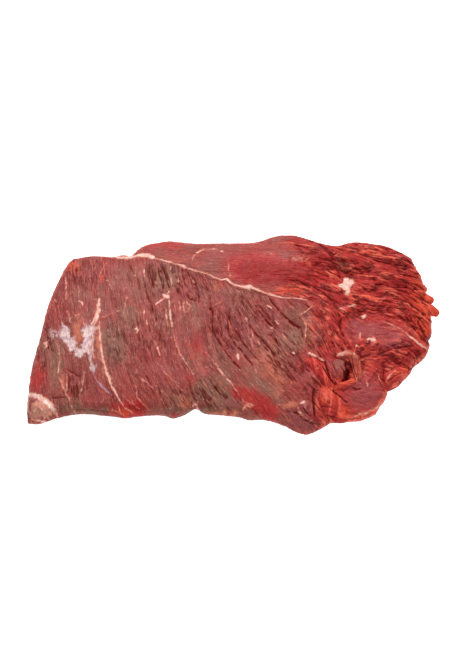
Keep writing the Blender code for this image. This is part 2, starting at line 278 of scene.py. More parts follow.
# Which way the muscle runs: a place in the picture, then right and down
grain = {
    "guides": [
        (70, 280, 0.1, 1), (60, 340, 0.35, 1), (45, 380, 0.1, 1), (110, 290, 0.15, 1), (130, 345, 0.25, 1),
        (110, 385, 0.35, 1), (160, 280, 0.25, 1), (150, 330, 0.15, 1), (150, 380, 0.4, 1), (190, 280, 0.35, 1),
        (185, 340, 0.25, 1), (185, 385, 0.6, 1), (215, 300, 0.5, 1), (210, 335, 0.1, 1), (225, 370, 0.8, 1),
        (230, 395, 0.9, 1), (240, 320, 0.45, 1), (245, 350, 0.8, 1), (260, 385, 1, 0.9), (270, 310, 0.7, 1),
        (280, 345, 0.8, 1), (290, 375, 1, 0.9), (300, 310, 0.9, 1), (310, 330, 0.7, 1), (240, 262, 1, 0.05),
        (180, 252, 1, 0.12), (280, 265, 1, 0.1), (310, 265, 1, 0.3), (320, 290, 1, 0.5), (350, 262, 1, 0.35),
        (380, 262, 1, 0.2), (375, 290, 1, 0.1), (405, 275, 1, 0.35), (400, 300, 1, 0.5), (420, 315, 0.8, 1),
        (425, 335, 0.3, 1), (375, 325, 1, 0.2), (375, 350, 1, -0.1), (400, 355, 1, -0.1), (365, 385, 0.3, 1),
        (375, 405, 1, -0.4), (350, 415, 1, 0.0), (330, 345, 0.3, 1), (325, 400, 0.7, 1), (320, 425, 1, 0.6),
    ],
    "readHeight": 13.0,  # mm, the height at which picture places are read
    "shortened": 0.819,  # depth as the camera sees it
    "guideReach": 90.0,
    "guideFade": 1.8,
    "cell": 2.5,
    "left": -172.0,
    "right": 176.0,
    "front": -108.0,
    "back": 110.0,
    "alongPull": 1.0,
    "spacingPull": 0.3,
    "seamEnd": 300.0,
    "seamFade": 45.0,
    "clearOfSeam": 3.6,
    "rounds": 500,
}


def onTop(x, y):  # picture place of the slab's upper side
    return onPhoto(x, y, np.full(x.shape, grain["readHeight"]))


def inFront(px, py):
    return py > np.interp(px, seamLine[:, 0], seamLine[:, 1], left=seamLine[0, 1] - slab["seamDrop"])


def solveGrain():
    cell = grain["cell"]
    xs = np.arange(grain["left"], grain["right"], cell)
    ys = np.arange(grain["front"], grain["back"], cell)
    gx, gy = np.meshgrid(xs, ys)
    px, py = onTop(gx, gy)
    fx = np.zeros(gx.shape)
    fy = np.zeros(gx.shape)
    front = inFront(px, py)
    for cx, cy, right, down in grain["guides"]:
        shared = ease((np.maximum(px, cx) - grain["seamEnd"]) / grain["seamFade"])
        away = ((px - cx) ** 2 + (py - cy) ** 2) / grain["guideReach"]
        weight = 1.0 / (away + 1.0) ** grain["guideFade"]
        weight = weight * np.where(front == inFront(np.array(float(cx)), cy), 1.0, shared) + 1e-9
        size = math.hypot(right, down / grain["shortened"])
        fx += weight * right / size
        fy -= weight * down / grain["shortened"] / size
    size = np.hypot(fx, fy)
    fx, fy = fx / size, fy / size
    cx = 0.25 * (fx[:-1, :-1] + fx[1:, :-1] + fx[:-1, 1:] + fx[1:, 1:])
    cy = 0.25 * (fy[:-1, :-1] + fy[1:, :-1] + fy[:-1, 1:] + fy[1:, 1:])
    size = np.hypot(cx, cy)
    cx, cy = cx / size, cy / size

    # the two layers aren't tied to each other across the seam
    corner = front[:-1, :-1]
    crossed = (corner != front[1:, :-1]) | (corner != front[:-1, 1:]) | (corner != front[1:, 1:])
    tied = np.where(crossed & (px[:-1, :-1] < grain["seamEnd"] + 8.0), 0.0, 1.0)

    def slopes(s):
        ex = 0.5 * (s[:-1, 1:] - s[:-1, :-1] + s[1:, 1:] - s[1:, :-1]) / cell
        ey = 0.5 * (s[1:, :-1] - s[:-1, :-1] + s[1:, 1:] - s[:-1, 1:]) / cell
        return ex, ey

    def gathered(ex, ey):
        out = np.zeros(gx.shape)
        ex, ey = 0.5 * ex / cell, 0.5 * ey / cell
        out[:-1, 1:] += ex - ey
        out[:-1, :-1] -= ex + ey
        out[1:, 1:] += ex + ey
        out[1:, :-1] += ey - ex
        return out

    def solved(ax, ay, bx, by, wantA, wantB, pullA, pullB, first):
        # least squares for slopes along (ax, ay) and (bx, by)
        def apply(s):
            ex, ey = slopes(s)
            a = pullA * (ex * ax + ey * ay) * tied
            b = pullB * (ex * bx + ey * by) * tied
            return gathered(a * ax + b * bx, a * ay + b * by) + 1e-7 * s

        a, b = pullA * wantA * tied, pullB * wantB * tied
        goal = gathered(a * ax + b * bx, a * ay + b * by)
        s = first.copy()
        r = goal - apply(s)
        p = r.copy()
        rr = (r * r).sum()
        for _ in range(grain["rounds"]):
            q = apply(p)
            step = rr / (p * q).sum()
            s += step * p
            r -= step * q
            new = (r * r).sum()
            p = r + p * (new / rr)
            rr = new
        return s

    pull, loose = grain["alongPull"], grain["spacingPull"]
    across = solved(cx, cy, -cy, cx, 0.0, 1.0, pull, loose, gx * 0.8 + gy * 0.2)
    along = solved(cx, cy, -cy, cx, 1.0, 0.0, loose, pull * 0.2, -gy)
    return xs, ys, across, along


def sampled(xs, ys, table, x, y):  # bilinear reading of a raster
    cell = xs[1] - xs[0]
    i = np.clip((x - xs[0]) / cell, 0, len(xs) - 1.001)
    j = np.clip((y - ys[0]) / cell, 0, len(ys) - 1.001)
    i0, j0 = i.astype(int), j.astype(int)
    fi, fj = i - i0, j - j0
    low = table[j0, i0] * (1 - fi) + table[j0, i0 + 1] * fi
    high = table[j0 + 1, i0] * (1 - fi) + table[j0 + 1, i0 + 1] * fi
    return low * (1 - fj) + high * fj


grainMap = solveGrain()
print("grain solved")


def grainAt(x, y):  # across and along the grain, carried on straight close to the seam
    xs, ys, across, along = grainMap
    px, py = onTop(x, y)
    away = np.where(inFront(px, py), -1.0, 1.0)
    clear = grain["clearOfSeam"]
    near = np.zeros(x.shape, bool)
    for reach in (0.4, 0.8, 1.2):
        beyond = onTop(x, y - away * clear * reach)
        near |= inFront(*beyond) != (away < 0)
    near &= px < grain["seamEnd"]
    result = []
    for table in (across, along):
        one = sampled(xs, ys, table, x, y + away * clear)
        two = sampled(xs, ys, table, x, y + away * clear * 2.0)
        result.append(np.where(near, 2.0 * one - two, sampled(xs, ys, table, x, y)))
    return result


def crowding(x, y):  # how closely the grain's lines lie: 1 is a millimetre each
    gap = 1.2
    right, left = grainAt(x + gap, y)[0], grainAt(x - gap, y)[0]
    back, ahead = grainAt(x, y + gap)[0], grainAt(x, y - gap)[0]
    return np.clip(np.hypot(right - left, back - ahead) / (2.0 * gap), 0.2, 2.5)


# What is drawn on the surface: groups of a width, a strength and strokes, each a
# picture place and then steps right and down
marks = {
    "creases": [
        (0.9, 0.8, (200, 273, 6, 11, 4, 12, 1, 10), (214.4, 327.2, 3.9, 6.7, 5.6, 6.7),
         (219.4, 308.3, -0.5, 10), (219.4, 327.2, 2.3, 8.9, 5.5, 7.8, 5.6, 5.5),
         (241.7, 297, 0.5, 4.7, 5, 7.7, 2.2, 3.4), (246, 298, 1.6, 5, 5.2, 6.4, 4.4, 5.6, 7.2, 3.9),
         (256, 335, 4.6, 6.7, 4.4, 6.6, 3.9, 6.7), (288.3, 376.1, 8.9, 5.6),
         (278.3, 381.7, 8.9, 5.5, 6.7, 5.6), (208.3, 377.2, 6.7, 6.7, 5.6, 10), (154.5, 264.7, 1, 14.6),
         (183.6, 270, 0.9, 9.3), (177.3, 277.5, 0.9, 14.5, 2.7, 11), (146.4, 284.7, 3.6, 6.3, 3.6, 5.5),
         (155.5, 320.2, 0.9, 10.8, 2.6, 9.2), (137.3, 333.8, 2.7, 8.2), (92, 291, 4, 7),
         (67.5, 370, 6.5, 3.4, 6, 3.2), (46, 329, 1.6, 7, 0.4, 12), (144, 373, 6, 9, 3, 6),
         (407, 303, 11, 6, 10, 7), (359, 360, 9, -5, 10, 2), (370, 349, 14, 1, 8, -5, 12, -3),
         (180, 391, 3, 6, 3, 7), (205, 376, 6, 7, 7, 9), (210, 380, 6, 8, 6, 10)),
        (1.4, 1, (210.6, 307, 1.8, 5, 0.2, 4), (231, 337, 5.1, 8, 5.6, 5.6, 5.5, 7.7, 6.7, 7.8),
         (270.6, 333.9, 4.4, 5.5, 3.9, 6.2), (399, 273, 9, 2, 9, 2), (418, 320, 3, 7, 4, 9),
         (325, 360, 2, 10, 4, 9, 5, 6), (353, 387, 4, 2, 4, -1), (286, 411.4, 11, 1, 6, 6.2, 9, 4, 12, 2)),
        (1.1, 1, (212.8, 315, -0.6, 12.2, 1.1, 4.5, 3.9, 6.6, 5.6, 8.9, 5.5, 7.8),
         (227.8, 325, 1.1, 7.8, 2.8, 5.5),
         (249.4, 325, 5.6, 7.8, 6.7, 5.5, 5.5, 6.7, 6.7, 8.9, 3.3, 6.7, 4.5, 5.5),
         (268.9, 297.4, 3.9, 5.4, 5.5, 6.6, 7.8, 8.4, 6.7, 3.9), (158.2, 267.5, 1.3, 8.1, 3.2, 8.2, 0.5, 5.5),
         (163.6, 268.4, 1.4, 5.4, 2.3, 6.4, 1.8, 7.3), (73.8, 409.6, 10.2, -0.2, 11, 0.6, 10, 1, 10, 1.6)),
        (1.3, 1, (227, 353.4, 6.9, 8.3, 6.7, 6.6), (235, 329.4, 5.6, 8.9, 4.4, 6.7, 4.4, 3.9),
         (263, 315, 2.6, 4.4, 6.1, 6.7, 4.4, 3.3), (303.9, 366.1, 6.1, 5.6), (209, 307, 3, 5),
         (373, 259.6, 9, 1.9, 12, 2.5, 13, 0.6), (375, 284, 9, -1, 9, 3, 14, 0), (333, 391, 7, 5, 8, 7)),
        (0.9, 0.9, (228.9, 317.2, 2.8, 10), (301.7, 301.6, 7.7, 5.6),
         (144.5, 283.8, 3.7, 14.6, 3.6, 7.2, 0.9, 7.4)),
        (1, 0.9, (249.4, 348.9, 3.4, 5, 5.5, 6.7, 4.5, 2.7), (252.2, 295, 0.6, 5.6, 5.5, 8.8, 5.6, 6.7),
         (288.3, 300.4, 4.5, 4.6, 5.5, 4.4), (149, 265.6, 2, 12.8, 1.8, 8.1), (290, 243, 11, 3, 11, 2),
         (310, 265, 11, 1, 10, 6, 10, 7), (385, 305, 13, 3, 12, 8, 9, 13), (356, 345, 6, -1, 7, -1)),
        (1.1, 0.9, (257.2, 301.7, 5.6, 7.7, 5.5, 6.7, 3.9, 6.7), (286.7, 358.3, 5, 7.8, 5.5, 5.6),
         (301.7, 327.2, 1.1, 10), (327, 252, 8, 7, 6, 2), (391, 265, 9, 2.6, 10, 0.8),
         (358, 311, 12, -1.4, 11, 0, 11, 2, 10, 5.4, 11, 9, 9, 14), (388, 297, 16, 4, 13, 8, 10, 9),
         (344, 313, 11, 3, 9, -1), (303, 407, 3, 5, 5, 4), (331, 355, 7, 3, 7, 2)),
        (1.8, 1, (288.6, 320.4, 5.4, 4, 6.6, 2.6), (314, 388, -1, 9, 1, 11, 1, 10)),
        (1, 0.8, (273.9, 368.3, 4.4, 4.5), (50, 330, 1, 10), (361, 296, 9, 6, 14, 1),
         (364, 305, 14, 0, 15, 3, 12, 7, 11, 12, 8, 12), (384, 369, -1, 9, 3, 8)),
        (0.8, 0.6, (289.4, 345, 4.5, 4.4, 7.8, 1.2), (130, 264.7, 1.4, 20.9), (211, 376, 7, 9, 7, 10)),
        (1, 1, (187.7, 272, 4.1, 8.2, 4.6, 6.3, 1.8, 5.5, 0.9, 10),
         (360, 357, 11, -4, 9, 1, 10, -4.6, 15, -3.8, 9, -0.6)),
        (1.2, 0.9, (187.3, 293, 1.8, 5.4, 7.3, 1.8), (378, 300.6, 10, 1, 10, 1.8), (421, 296, 4, 4, 4, 3),
         (377, 367, 1, 9, 4, 10, 3, 6)),
        (0.9, 0.7, (172, 313, 0.8, 7), (80, 361, -0.4, 11, -0.2, 8), (47.5, 397.6, 8.5, 0.2, 8, -0.8),
         (281, 372, 9, 11, 7, 6, 4, 2), (287, 363, 6, 8, 8, 8), (398, 279, 10, 4, 9, 7)),
        (0.8, 0.8, (115, 299, 1, 9)),
        (1.2, 1, (317, 243, 10, 6, 6, 6, 5, -2), (407, 311, 7, 3, 6, 4)),
        (1.5, 1, (395, 288.6, 8, 2, 7, 4), (338, 312, 3, 6, -1, 7, 1, 7, 3, 4)),
        (1.3, 0.9, (345, 272, 10, -4, 9, 1, 9, -4), (287, 279, 11, 2, 15, 5, 11, 6, 7, 7, 10, 4)),
        (0.9, 0.6, (364, 392, 6, 6, 8, 0), (345, 396, 11, 6, 12, 3), (352, 388, 9, 5, 11, -1),
         (262, 372, 9, 10, 9, 8), (286, 374, 10, 10, 7, 7), (121, 378, 7, 11, 8, 9), (104, 384, 6, 10, 6, 8),
         (165, 380, 6, 8, 5, 8)),
        (0.8, 0.5, (356, 398, 12, 3, 12, -1)),
        (2.4, 1, (345, 363, 3, 7, -1, 8, -5, 3)),
        (1.4, 0.9, (253, 408, 4, 5, 4, 5)),
    ],
    "wrinkles": [  # fine folds on the lobes alone
        (0.8, 0.8, (317, 408, 6, -1.6, 7, 0.6, 6, 2.4, 5, 3.6)),
        (0.8, 0.75, (318, 412, 7, -1.2, 8, 1.2, 6, 3.6), (320, 416, 7, -1, 9, 2, 6, 3)),
        (0.8, 0.6, (321, 392, 1, 5, 3, 4)),
        (1.1, 0.9, (322, 365, 5, 9, 6, 9)),
        (0.9, 0.7, (312, 359, 6, 8, 5, 9), (337, 380, 8, -1, 7, -1)),
        (0.9, 0.8, (352, 356, 1, 10, 4, 11), (341, 366, 3.6, 6, -0.6, 7), (332, 362, 3, 7, 2, 7)),
        (0.8, 0.7, (356, 360, 2, 10)),
        (1, 0.8, (388, 381, 6, -5, 7, -3)),
    ],
    "ridges": [
        (1.6, 0.9, (297.6, 357, 1.8, 8, 1.2, 7)),
        (2.4, 1, (300, 248, 18, 2, 12, 8)),
        (2.2, 1, (330, 250, 6, 4, 5, 5)),
        (2.6, 1, (305, 262, 16, 0, 11, 5), (385, 386, 5, -9, 12, -6, 6, 1)),
        (2.2, 0.8, (365, 262, 15, -4, 18, 3)),
        (2.4, 0.8, (375, 291, 17, 0, 16, 6), (362, 291, -12, 9, 16, -1)),
        (2.2, 0.7, (385, 300, 17, 7, 16, 12)),
        (2, 0.7, (364, 346, 20, -1, 18, -5), (362, 360, 18, -6, 16, 2)),
    ],
    "fat": [
        (1.9, 0.75, (95, 254.6, 13, 0.8, 14, 2.2, 10, -0.2)),
        (2.9, 1.3, (28, 395, 6, 0.4, 7, 3, 6, 4.2, 5, 6, 5, 6.4)),
        (1.2, 1, (28, 394, -0.6, 8, 0.2, 10)),
        (1.6, 0.7, (31, 402, 5, 4, -2, 7)),
        (1.4, 0.8, (31, 419, 7, 2, 8, 0)),
        (1.2, 0.8, (41, 408, 5, 5, -2, 5)),
        (1.6, 0.9, (97.4, 305, 0, 8, -3.4, 7, -3, 5)),
        (2.4, 1, (138, 255.4, 9, 0, 7, 2)),
        (1.7, 0.9, (180, 265, 6, 2.6)),
        (0.9, 0.5, (106, 262, -4, 8, -4, 8), (277, 402, 5, 6), (284, 414, 4, 6)),
        (0.8, 0.45, (98, 278, 0, 12, 0.5, 8)),
        (2.2, 1.1, (99.2, 299, -0.4, 7, -1.4, 7, -0.6, 7)),
        (1.1, 0.85, (96, 320, -2.6, 10, -1.2, 10, 0.4, 10, 0.8, 9), (146.6, 320.6, 0.8, 4.4)),
        (1.5, 0.95, (98.8, 322, 1, 13, 1.2, 12, 1.5, 11.8, 2.5, 8.2, 2.5, 8, 5, 12.5, 7.5, 13.5)),
        (0.9, 0.7, (120, 401, 3.8, 6.5, 9.2, 5.5),
         (55, 339, 3.8, 11, 1.2, 9, -1.9, 11, 0.7, 7.5, 5, 11.3, 4.3, 8.7, 3.2, 8.8, 3.7, 6.7),
         (363.9, 371, 0.3, 4), (137, 327, 0, 6), (180.4, 312, 1, 6), (46.6, 342, -0.6, 5.6),
         (54.6, 299, 2.4, 4), (112, 409.4, 6, 2.6, 6, 3), (252, 331, 1.4, 7), (275, 321, 3.6, 3),
         (359, 339, 2, -6)),
        (1, 0.75, (67, 373.8, -0.1, 12.5, -0.9, 4.7), (366.7, 381, 0.9, 5), (118.6, 406, 1, 5, 1, 4),
         (143.6, 270, 1.9, 8.4)),
        (0.9, 0.65, (67.5, 311, 2.5, 11), (82.5, 317.5, 2.5, 11.3), (215.6, 304.4, 6.1, -2.2),
         (184, 301.5, -1, 5.5, 2, 5.4, 3.6, -0.6, 0.8, -5.8, -2.4, -4), (179, 298.4, 1, 8.6, 1, 9.5),
         (144, 308.4, 0, 8.1)),
        (0.9, 0.6, (75, 315.4, 5, -0.8), (376.6, 368, 2, 8, 3.4, 8), (387, 380, 3, -6, 6, -3),
         (116, 276, 2.5, 3), (384, 321, 8, 4, 6.3, 2.7, 9.7, 6.9)),
        (1, 0.7, (297, 407, 4, 7, 5, 4, 6, 3), (355.6, 416, 12.2, -3.6, 8.9, -4.4, 6.9, -8),
         (283, 334, 2, 4.6), (270.6, 327.2, 5.4, 3.4), (135.5, 274.7, 0.5, 4.6), (178.2, 278, 0.6, 4),
         (171, 277.5, 0.8, 6.3), (190, 276.5, 4.5, 6.5), (165.5, 307.5, 0.9, 10.9, 1.8, 8.1)),
        (0.8, 0.6, (66, 277, 0, 10, 0, 12), (107, 280, 3, 5, 2, 3), (192, 261, 2, -5.4, 5, -4),
         (136, 385, 1, 12, 6, 7, 7, 7), (161, 391, 6, 5)),
        (0.8, 0.8, (78, 286, 1, 5, -0.5, 5), (357, 345, -1.6, 4, -1.4, 6)),
        (1, 0.9, (79, 301, 3, 1.6, 1, 3.4), (155.6, 304.6, 5, -4, 5.4, -2.6)),
        (0.7, 0.6, (126.5, 297, -1.1, 6, -1.4, 7, 0.6, 8),
         (164, 371.7, 8.6, 8.6, 8.4, 8.7, 7.3, 8.4, 7.1, 7.2), (206, 352, 6.6, 8.3, 5.4, 6.7)),
        (1.3, 0.8, (126, 295, 1, 3.6)),
        (0.6, 0.45, (101, 318, 11, -4, 9, -4)),
        (1.2, 0.95, (169.4, 300, 0.3, 10, 1.3, 9, 1.4, 8)),
        (0.8, 0.7, (171.6, 322, 1, 10, 2.8, 10, 4.3, 11, 3.3, 6, 5.3, 7, 5.7, 8),
         (231, 383, 7.3, 10, 5.7, 8.7), (312.6, 306, -5.6, 4.3, -6, 4.3, 3, 7.1, 2.4, 6.3, -1, 10)),
        (1, 0.8, (154.6, 320, 1.4, 6), (154, 341, 3, 5, 2.7, 9), (267, 305.6, 4.6, 2.8)),
        (1.5, 0.85, (135, 328.6, 3.6, 2)),
        (1.1, 0.8, (44, 342.6, 3, 4), (302, 317, 3, 6, 1.6, 6)),
        (1.9, 0.95, (192.6, 401, 3, 3.6, 2.4, 3.8)),
        (1.1, 0.95, (217, 366, 4, 5.7, 6, 6.9, 5, 5.4)),
        (1.1, 0.62, (243, 410, 2, -4.4, 4, -2.2, 4.6, 2.2)),
        (1, 0.58, (245, 401.6, 3, 2.4, 3, 5)),
        (1.5, 0.9, (237.6, 353.6, 1.2, 6.4)),
        (1.2, 0.85, (245.6, 318, 2, 4), (309, 353, 5, 2, 5, 2.6, 5.6, 3.4)),
        (1.4, 0.9, (292, 353, 2.6, 0.4)),
        (1.3, 0.9, (347, 306.6, 6, -1, 4, -1)),
        (1.8, 0.95, (360.6, 316.4, 5, -0.8)),
        (2.2, 0.95, (367.6, 339, 3.4, 0, 4, 1)),
        (1.8, 0.75, (338, 355.6, 4, -2.6, 4, -1, 5, 1.4)),
        (1, 1, (407, 334.4, 4, 3.2, 4.4, 3, 5.6, 4.4, 7.3, 5)),
        (1, 0.5, (356, 414, 10, -1.4, 9, -4)),
        (1.2, 0.7, (196, 252.6, 8, -3, 9, -0.6, 10, 2.4), (251, 338, 1.8, 10.3), (156.2, 282, 0.4, 2.4)),
        (1, 0.6, (229, 264, -0.4, 6, 2, 6)),
        (1.4, 0.7, (228, 243.4, 7, -1.8)),
        (1.1, 0.7, (255, 369.4, 1.7, 3.4)),
        (1.3, 0.75, (257.2, 339.4, 2.2, 5.6)),
        (1.1, 0.75, (170.4, 267, 0.6, 4)),
        (2.6, 0.5, (292, 259, 8, -1, 6, 3)),
        (0.8, 0.5, (264, 254, 4, -2, 4, 2)),
        (1, 0.55, (85, 372, -2.5, 12, -3, 12, 1.5, 9)),
        (0.8, 0.65, (142, 379, 6, 5, 5, 4)),
        (0.8, 0.55, (122, 395, 8, 7, 13, 9)),
    ],
    "silver": [
        (1.1, 1.2, (92, 370, 2, 6, 3, 4.6, 4, 4.4, 5, 5, 6.5, 5)),
        (2, 1.3, (61, 338, 4, -0.8, 3, 1.4)),
        (2, 1.2, (84.6, 345, 2.9, -4, 2.5, -5)),
        (1.6, 1, (90, 368, 3, 3.6)),
    ],
}
for name, groups in marks.items():
    marks[name] = [(width, strength, *map(fromSteps, strokes)) for width, strength, *strokes in groups]

# Soft ovals in picture places: centre, half sizes, turn, strength
fatSpots = [
    (166.6, 296.6, 3.4, 2.6, 30, 1.3), (162.6, 294.4, 2.6, 1.4, 20, 0.8), (169.4, 292.6, 1.3, 2.4, 10, 0.8),
    (345.6, 285, 5.6, 4.6, 0, 0.8), (347.6, 290.4, 3, 4, 0, 0.8), (341.4, 285.6, 3, 2.8, 0, 0.8),
    (350, 281, 4, 2.4, 0, 0.8), (351.6, 283.6, 3, 1.6, -20, 0.9), (346, 279.6, 3, 2.4, 0, 0.8),
    (371.4, 339.8, 4.6, 2, 0, 1), (363, 316.4, 3.2, 2, 0, 0.9), (246.6, 287.6, 7, 1.7, 8, 1),
    (248.6, 405.6, 4, 2.6, 0, 0.4), (302.6, 402, 3, 1.8, -10, 0.7), (195.6, 404.4, 2.2, 3.6, -35, 1.1),
    (300, 258, 8, 3, 0, 0.45), (342, 308, 3.6, 1.6, 0, 0.6), (313, 354.6, 3.4, 1.8, 20, 0.9),
    (341, 354.6, 4.6, 1.8, -15, 0.7), (310, 319, 3, 4, 20, 0.4), (99, 309, 1.6, 5.6, 4, 0.9),
    (396, 256, 5, 2, 20, 0.3), (365, 251, 6, 2.4, 0, 0.35),
]
blotches = {
    "sheath": [  # silver skin, lavender and white
        (54, 333.6, 3.8, 7.4, -14, 1.2), (54, 333, 1.6, 2.4, 0, -0.9), (64, 327, 5.4, 6, 0, 1),
        (66, 335, 8, 5.4, 35, 1.2), (66.9, 324.4, 3.2, 2.4, 0, -1.8), (70.6, 334, 2, 1.8, 0, -1.2),
        (72, 345, 9, 5, 42, 1.4), (79, 354, 6, 4.4, 0, 1.3), (90, 329, 9, 5.6, -38, 1.2),
        (88, 340, 6, 9, 10, 1.2), (90.6, 354, 4, 9, 0, 0.9), (92, 367, 4, 6, -16, 0.9),
        (85, 349, 4, 5, 0, 0.7), (303, 401, 4, 2.6, 0, 1), (36, 399, 8, 4, 20, 0.6),
        (82, 392, 1.6, 12, 4, 0.5),
    ],
    "red": [
        (262, 268, 34, 12, 0, 0.6), (336, 404, 16, 14, 0, 0.5), (250, 260, 56, 12, 4, 0.3),
        (37, 378, 11, 14, 0, 1), (129, 411, 15, 6, 0, 1.2), (118, 408, 9, 6, 0, 0.6),
        (200, 352, 15, 14, 40, 0.7), (246, 397, 20, 8, 28, 1), (262, 405, 16, 7, 20, 0.7),
        (189, 378, 10, 8, 0, 0.6), (196, 335, 8, 12, 20, 0.4), (247, 270, 17, 13, 0, 1.1),
        (150, 244, 12, 4, 0, 0.7), (300, 243, 26, 4, 0, 0.7), (172, 245, 16, 5, 0, 0.8),
        (272, 273, 34, 14, 4, 1.1), (262, 250, 24, 8, 0, 0.4), (320, 275, 30, 14, 10, 0.8),
        (300, 380, 16, 20, 40, 0.5), (395, 290, 40, 30, 20, 0.6), (390, 250, 30, 12, 20, 0.5),
        (320, 320, 16, 16, 0, 0.5), (408, 350, 22, 7, -12, 0.5), (385, 375, 14, 14, 0, 0.6),
        (335, 372, 14, 16, 0, 0.5), (316, 362, 14, 8, 40, 0.9), (110, 370, 20, 30, 20, 0.25),
        (150, 350, 24, 30, 20, 0.3), (140, 395, 20, 14, 0, 0.3), (135, 406, 14, 7, 10, 0.7),
        (258, 402, 26, 11, 28, 0.8), (270, 415, 14, 6, 15, 0.6),
    ],
    "orange": [
        (73, 267, 10, 5, 0, 0.35), (101, 279, 4, 4, 0, 0.7), (222, 284, 13, 4, 10, 0.5),
        (290, 290, 18, 6, 4, 0.9), (270, 293, 12, 4, 10, 0.5), (303, 272, 14, 6, 0, 0.5),
        (425, 325, 10, 20, 20, 0.9), (432, 308, 12, 8, 20, 0.9), (418, 285, 8, 18, -20, 0.5),
        (414, 306, 14, 22, -10, 0.5), (366, 252, 12, 5, 0, 0.4), (122, 412, 14, 4, 8, 0.7),
        (403, 372, 10, 6, -20, 0.7), (328, 393, 12, 12, 0, 0.6), (345, 378, 12, 5, 0, 0.7),
        (356, 372, 5, 10, 0, 0.6), (344, 413, 9, 6, 20, 0.8), (362, 252, 12, 6, 0, 0.4),
        (128, 412, 8, 3, 0, 0.6), (310, 345, 14, 10, 0, 0.3), (72, 265, 6, 8, 0, 0.4),
        (299, 364, 2.4, 8, -8, 0.7),
    ],
    "brown": [
        (48, 345, 8, 25, 12, 0.6), (110, 411, 40, 3, 0, 0.5), (340, 366, 6, 8, 0, 0.6),
        (113, 343, 14, 24, -18, 1.1), (56, 372, 9, 18, 0, 0.9), (60, 350, 7, 12, 0, 0.6),
        (164, 274, 16, 16, 0, 0.8), (212, 392, 21, 17, 20, 1.3), (179, 402, 13, 10, 0, 0.8),
        (224, 364, 8, 20, -25, 0.7), (292, 343, 16, 14, 0, 0.8), (271, 392, 22, 9, 35, 0.7),
        (195, 312, 8, 22, -10, 0.6), (76, 295, 12, 16, 0, 0.5), (250, 372, 20, 10, 40, 0.5),
        (70, 405, 18, 9, 0, 0.7), (90, 410, 24, 4, 0, 0.6), (212, 411, 26, 4, 0, 0.9),
        (175, 411, 20, 4, 0, 0.6), (175, 285, 10, 16, 0, 0.4), (80, 385, 8, 14, 0, 0.5),
        (340, 262, 9, 9, 0, 0.7), (128, 316, 12, 16, -10, 0.6), (278, 360, 18, 8, 40, 0.4),
        (318, 335, 16, 16, 0, 0.45), (300, 318, 16, 16, 0, 0.5), (360, 352, 14, 6, 0, 0.4),
        (145, 300, 16, 30, 0, 0.25), (345, 268, 6, 8, 0, 0.5),
    ],
    "mauve": [
        (112, 275, 20, 16, 0, 0.4), (212, 256, 13, 9, 0, 1.2), (280, 257, 24, 8, 5, 0.9),
        (98, 392, 16, 16, 0, 0.5), (240, 330, 26, 30, 0, 0.45), (385, 332, 30, 12, 10, 0.75),
        (360, 330, 18, 13, 0, 0.65), (390, 346, 20, 10, 0, 0.5), (365, 394, 22, 20, 0, 1),
        (312, 380, 12, 14, 0, 0.6), (330, 363, 6, 8, 0, 0.9), (405, 262, 20, 8, 25, 0.5),
        (200, 290, 24, 10, 20, 0.4), (300, 415, 22, 8, 25, 0.8), (60, 290, 10, 30, 0, 0.3),
        (150, 370, 20, 14, 0, 0.3), (405, 305, 20, 10, 30, 0.3), (296, 373, 16, 12, 40, 0.4),
        (232, 398, 8, 12, -30, 1), (306, 426, 20, 7, 8, 1),
    ],
    "deepRed": [
        (320, 262, 26, 14, 0, 0.9), (285, 276, 28, 8, 8, 0.6), (252, 268, 12, 10, 0, 0.4),
        (330, 296, 18, 10, 30, 0.5), (270, 274, 36, 13, 4, 1.1), (200, 258, 66, 14, 6, 0.6),
        (378, 250, 46, 9, 12, 0.45), (160, 320, 24, 34, 0, 0.35), (136, 406, 12, 6, 20, 0.8),
        (280, 248, 40, 5, 0, 0.4), (400, 283, 18, 10, 20, 0.5), (388, 312, 24, 6, 14, 0.5),
        (385, 352, 26, 8, -8, 0.5), (350, 262, 12, 10, 0, 0.4),
    ],
    "amber": [
        (77.6, 334, 4.4, 13, 4, 0.8), (77, 318, 6, 12, 0, 0.5), (98, 340, 2.8, 20, -5, 1),
        (106.6, 372, 2.6, 15, -20, 1), (64, 382, 3.2, 9, 0, 0.9), (291, 405, 7, 4.6, 0, 1.4),
        (186, 403, 9, 9, 0, 0.7), (225, 412.6, 18, 3, 4, 1), (248, 406, 6, 5, 0, 0.5),
        (274, 394, 8, 4, 0, 0.5), (74, 267, 8, 5, 0, 0.5), (170, 258, 26, 5, 10, 0.5),
        (215, 288, 12, 5, 20, 0.5), (228, 268, 2.4, 10, 0, 0.5), (350, 353, 8, 3, 0, 0.6),
        (270, 350, 20, 12, 40, 0.4), (275, 374, 30, 13, 40, 0.6), (308, 336, 12, 12, 0, 0.5),
        (232, 330, 10, 26, -25, 0.35), (300, 260, 12, 5, 0, 0.5), (200, 365, 10, 22, -25, 0.4),
        (152, 318, 3, 16, -6, 0.5), (210, 330, 3, 20, -10, 0.4),
    ],
    "tan": [
        (291, 405, 6, 3.6, 0, 0.5), (40, 410, 13, 11, 0, 1), (50, 404, 8, 8, 0, 0.5),
    ],
}
smoothPatches = [  # where the muscle lies smooth
    (385, 331, 36, 12, 14, 0.75), (358, 335, 14, 12, 0, 0.55), (205, 257, 34, 10, 8, 0.9),
    (160, 247, 20, 5, 0, 0.8), (365, 398, 24, 18, -10, 1.2), (372, 372, 9, 16, 0, 0.8),
    (300, 378, 20, 16, 40, 0.4), (75, 320, 20, 30, 0, 0.4), (248, 268, 22, 14, 10, 0.8),
    (190, 256, 44, 10, 8, 0.6), (275, 262, 34, 18, 5, 0.7), (105, 420, 60, 10, 0, 0.6),
    (305, 420, 20, 10, 20, 0.6),
]
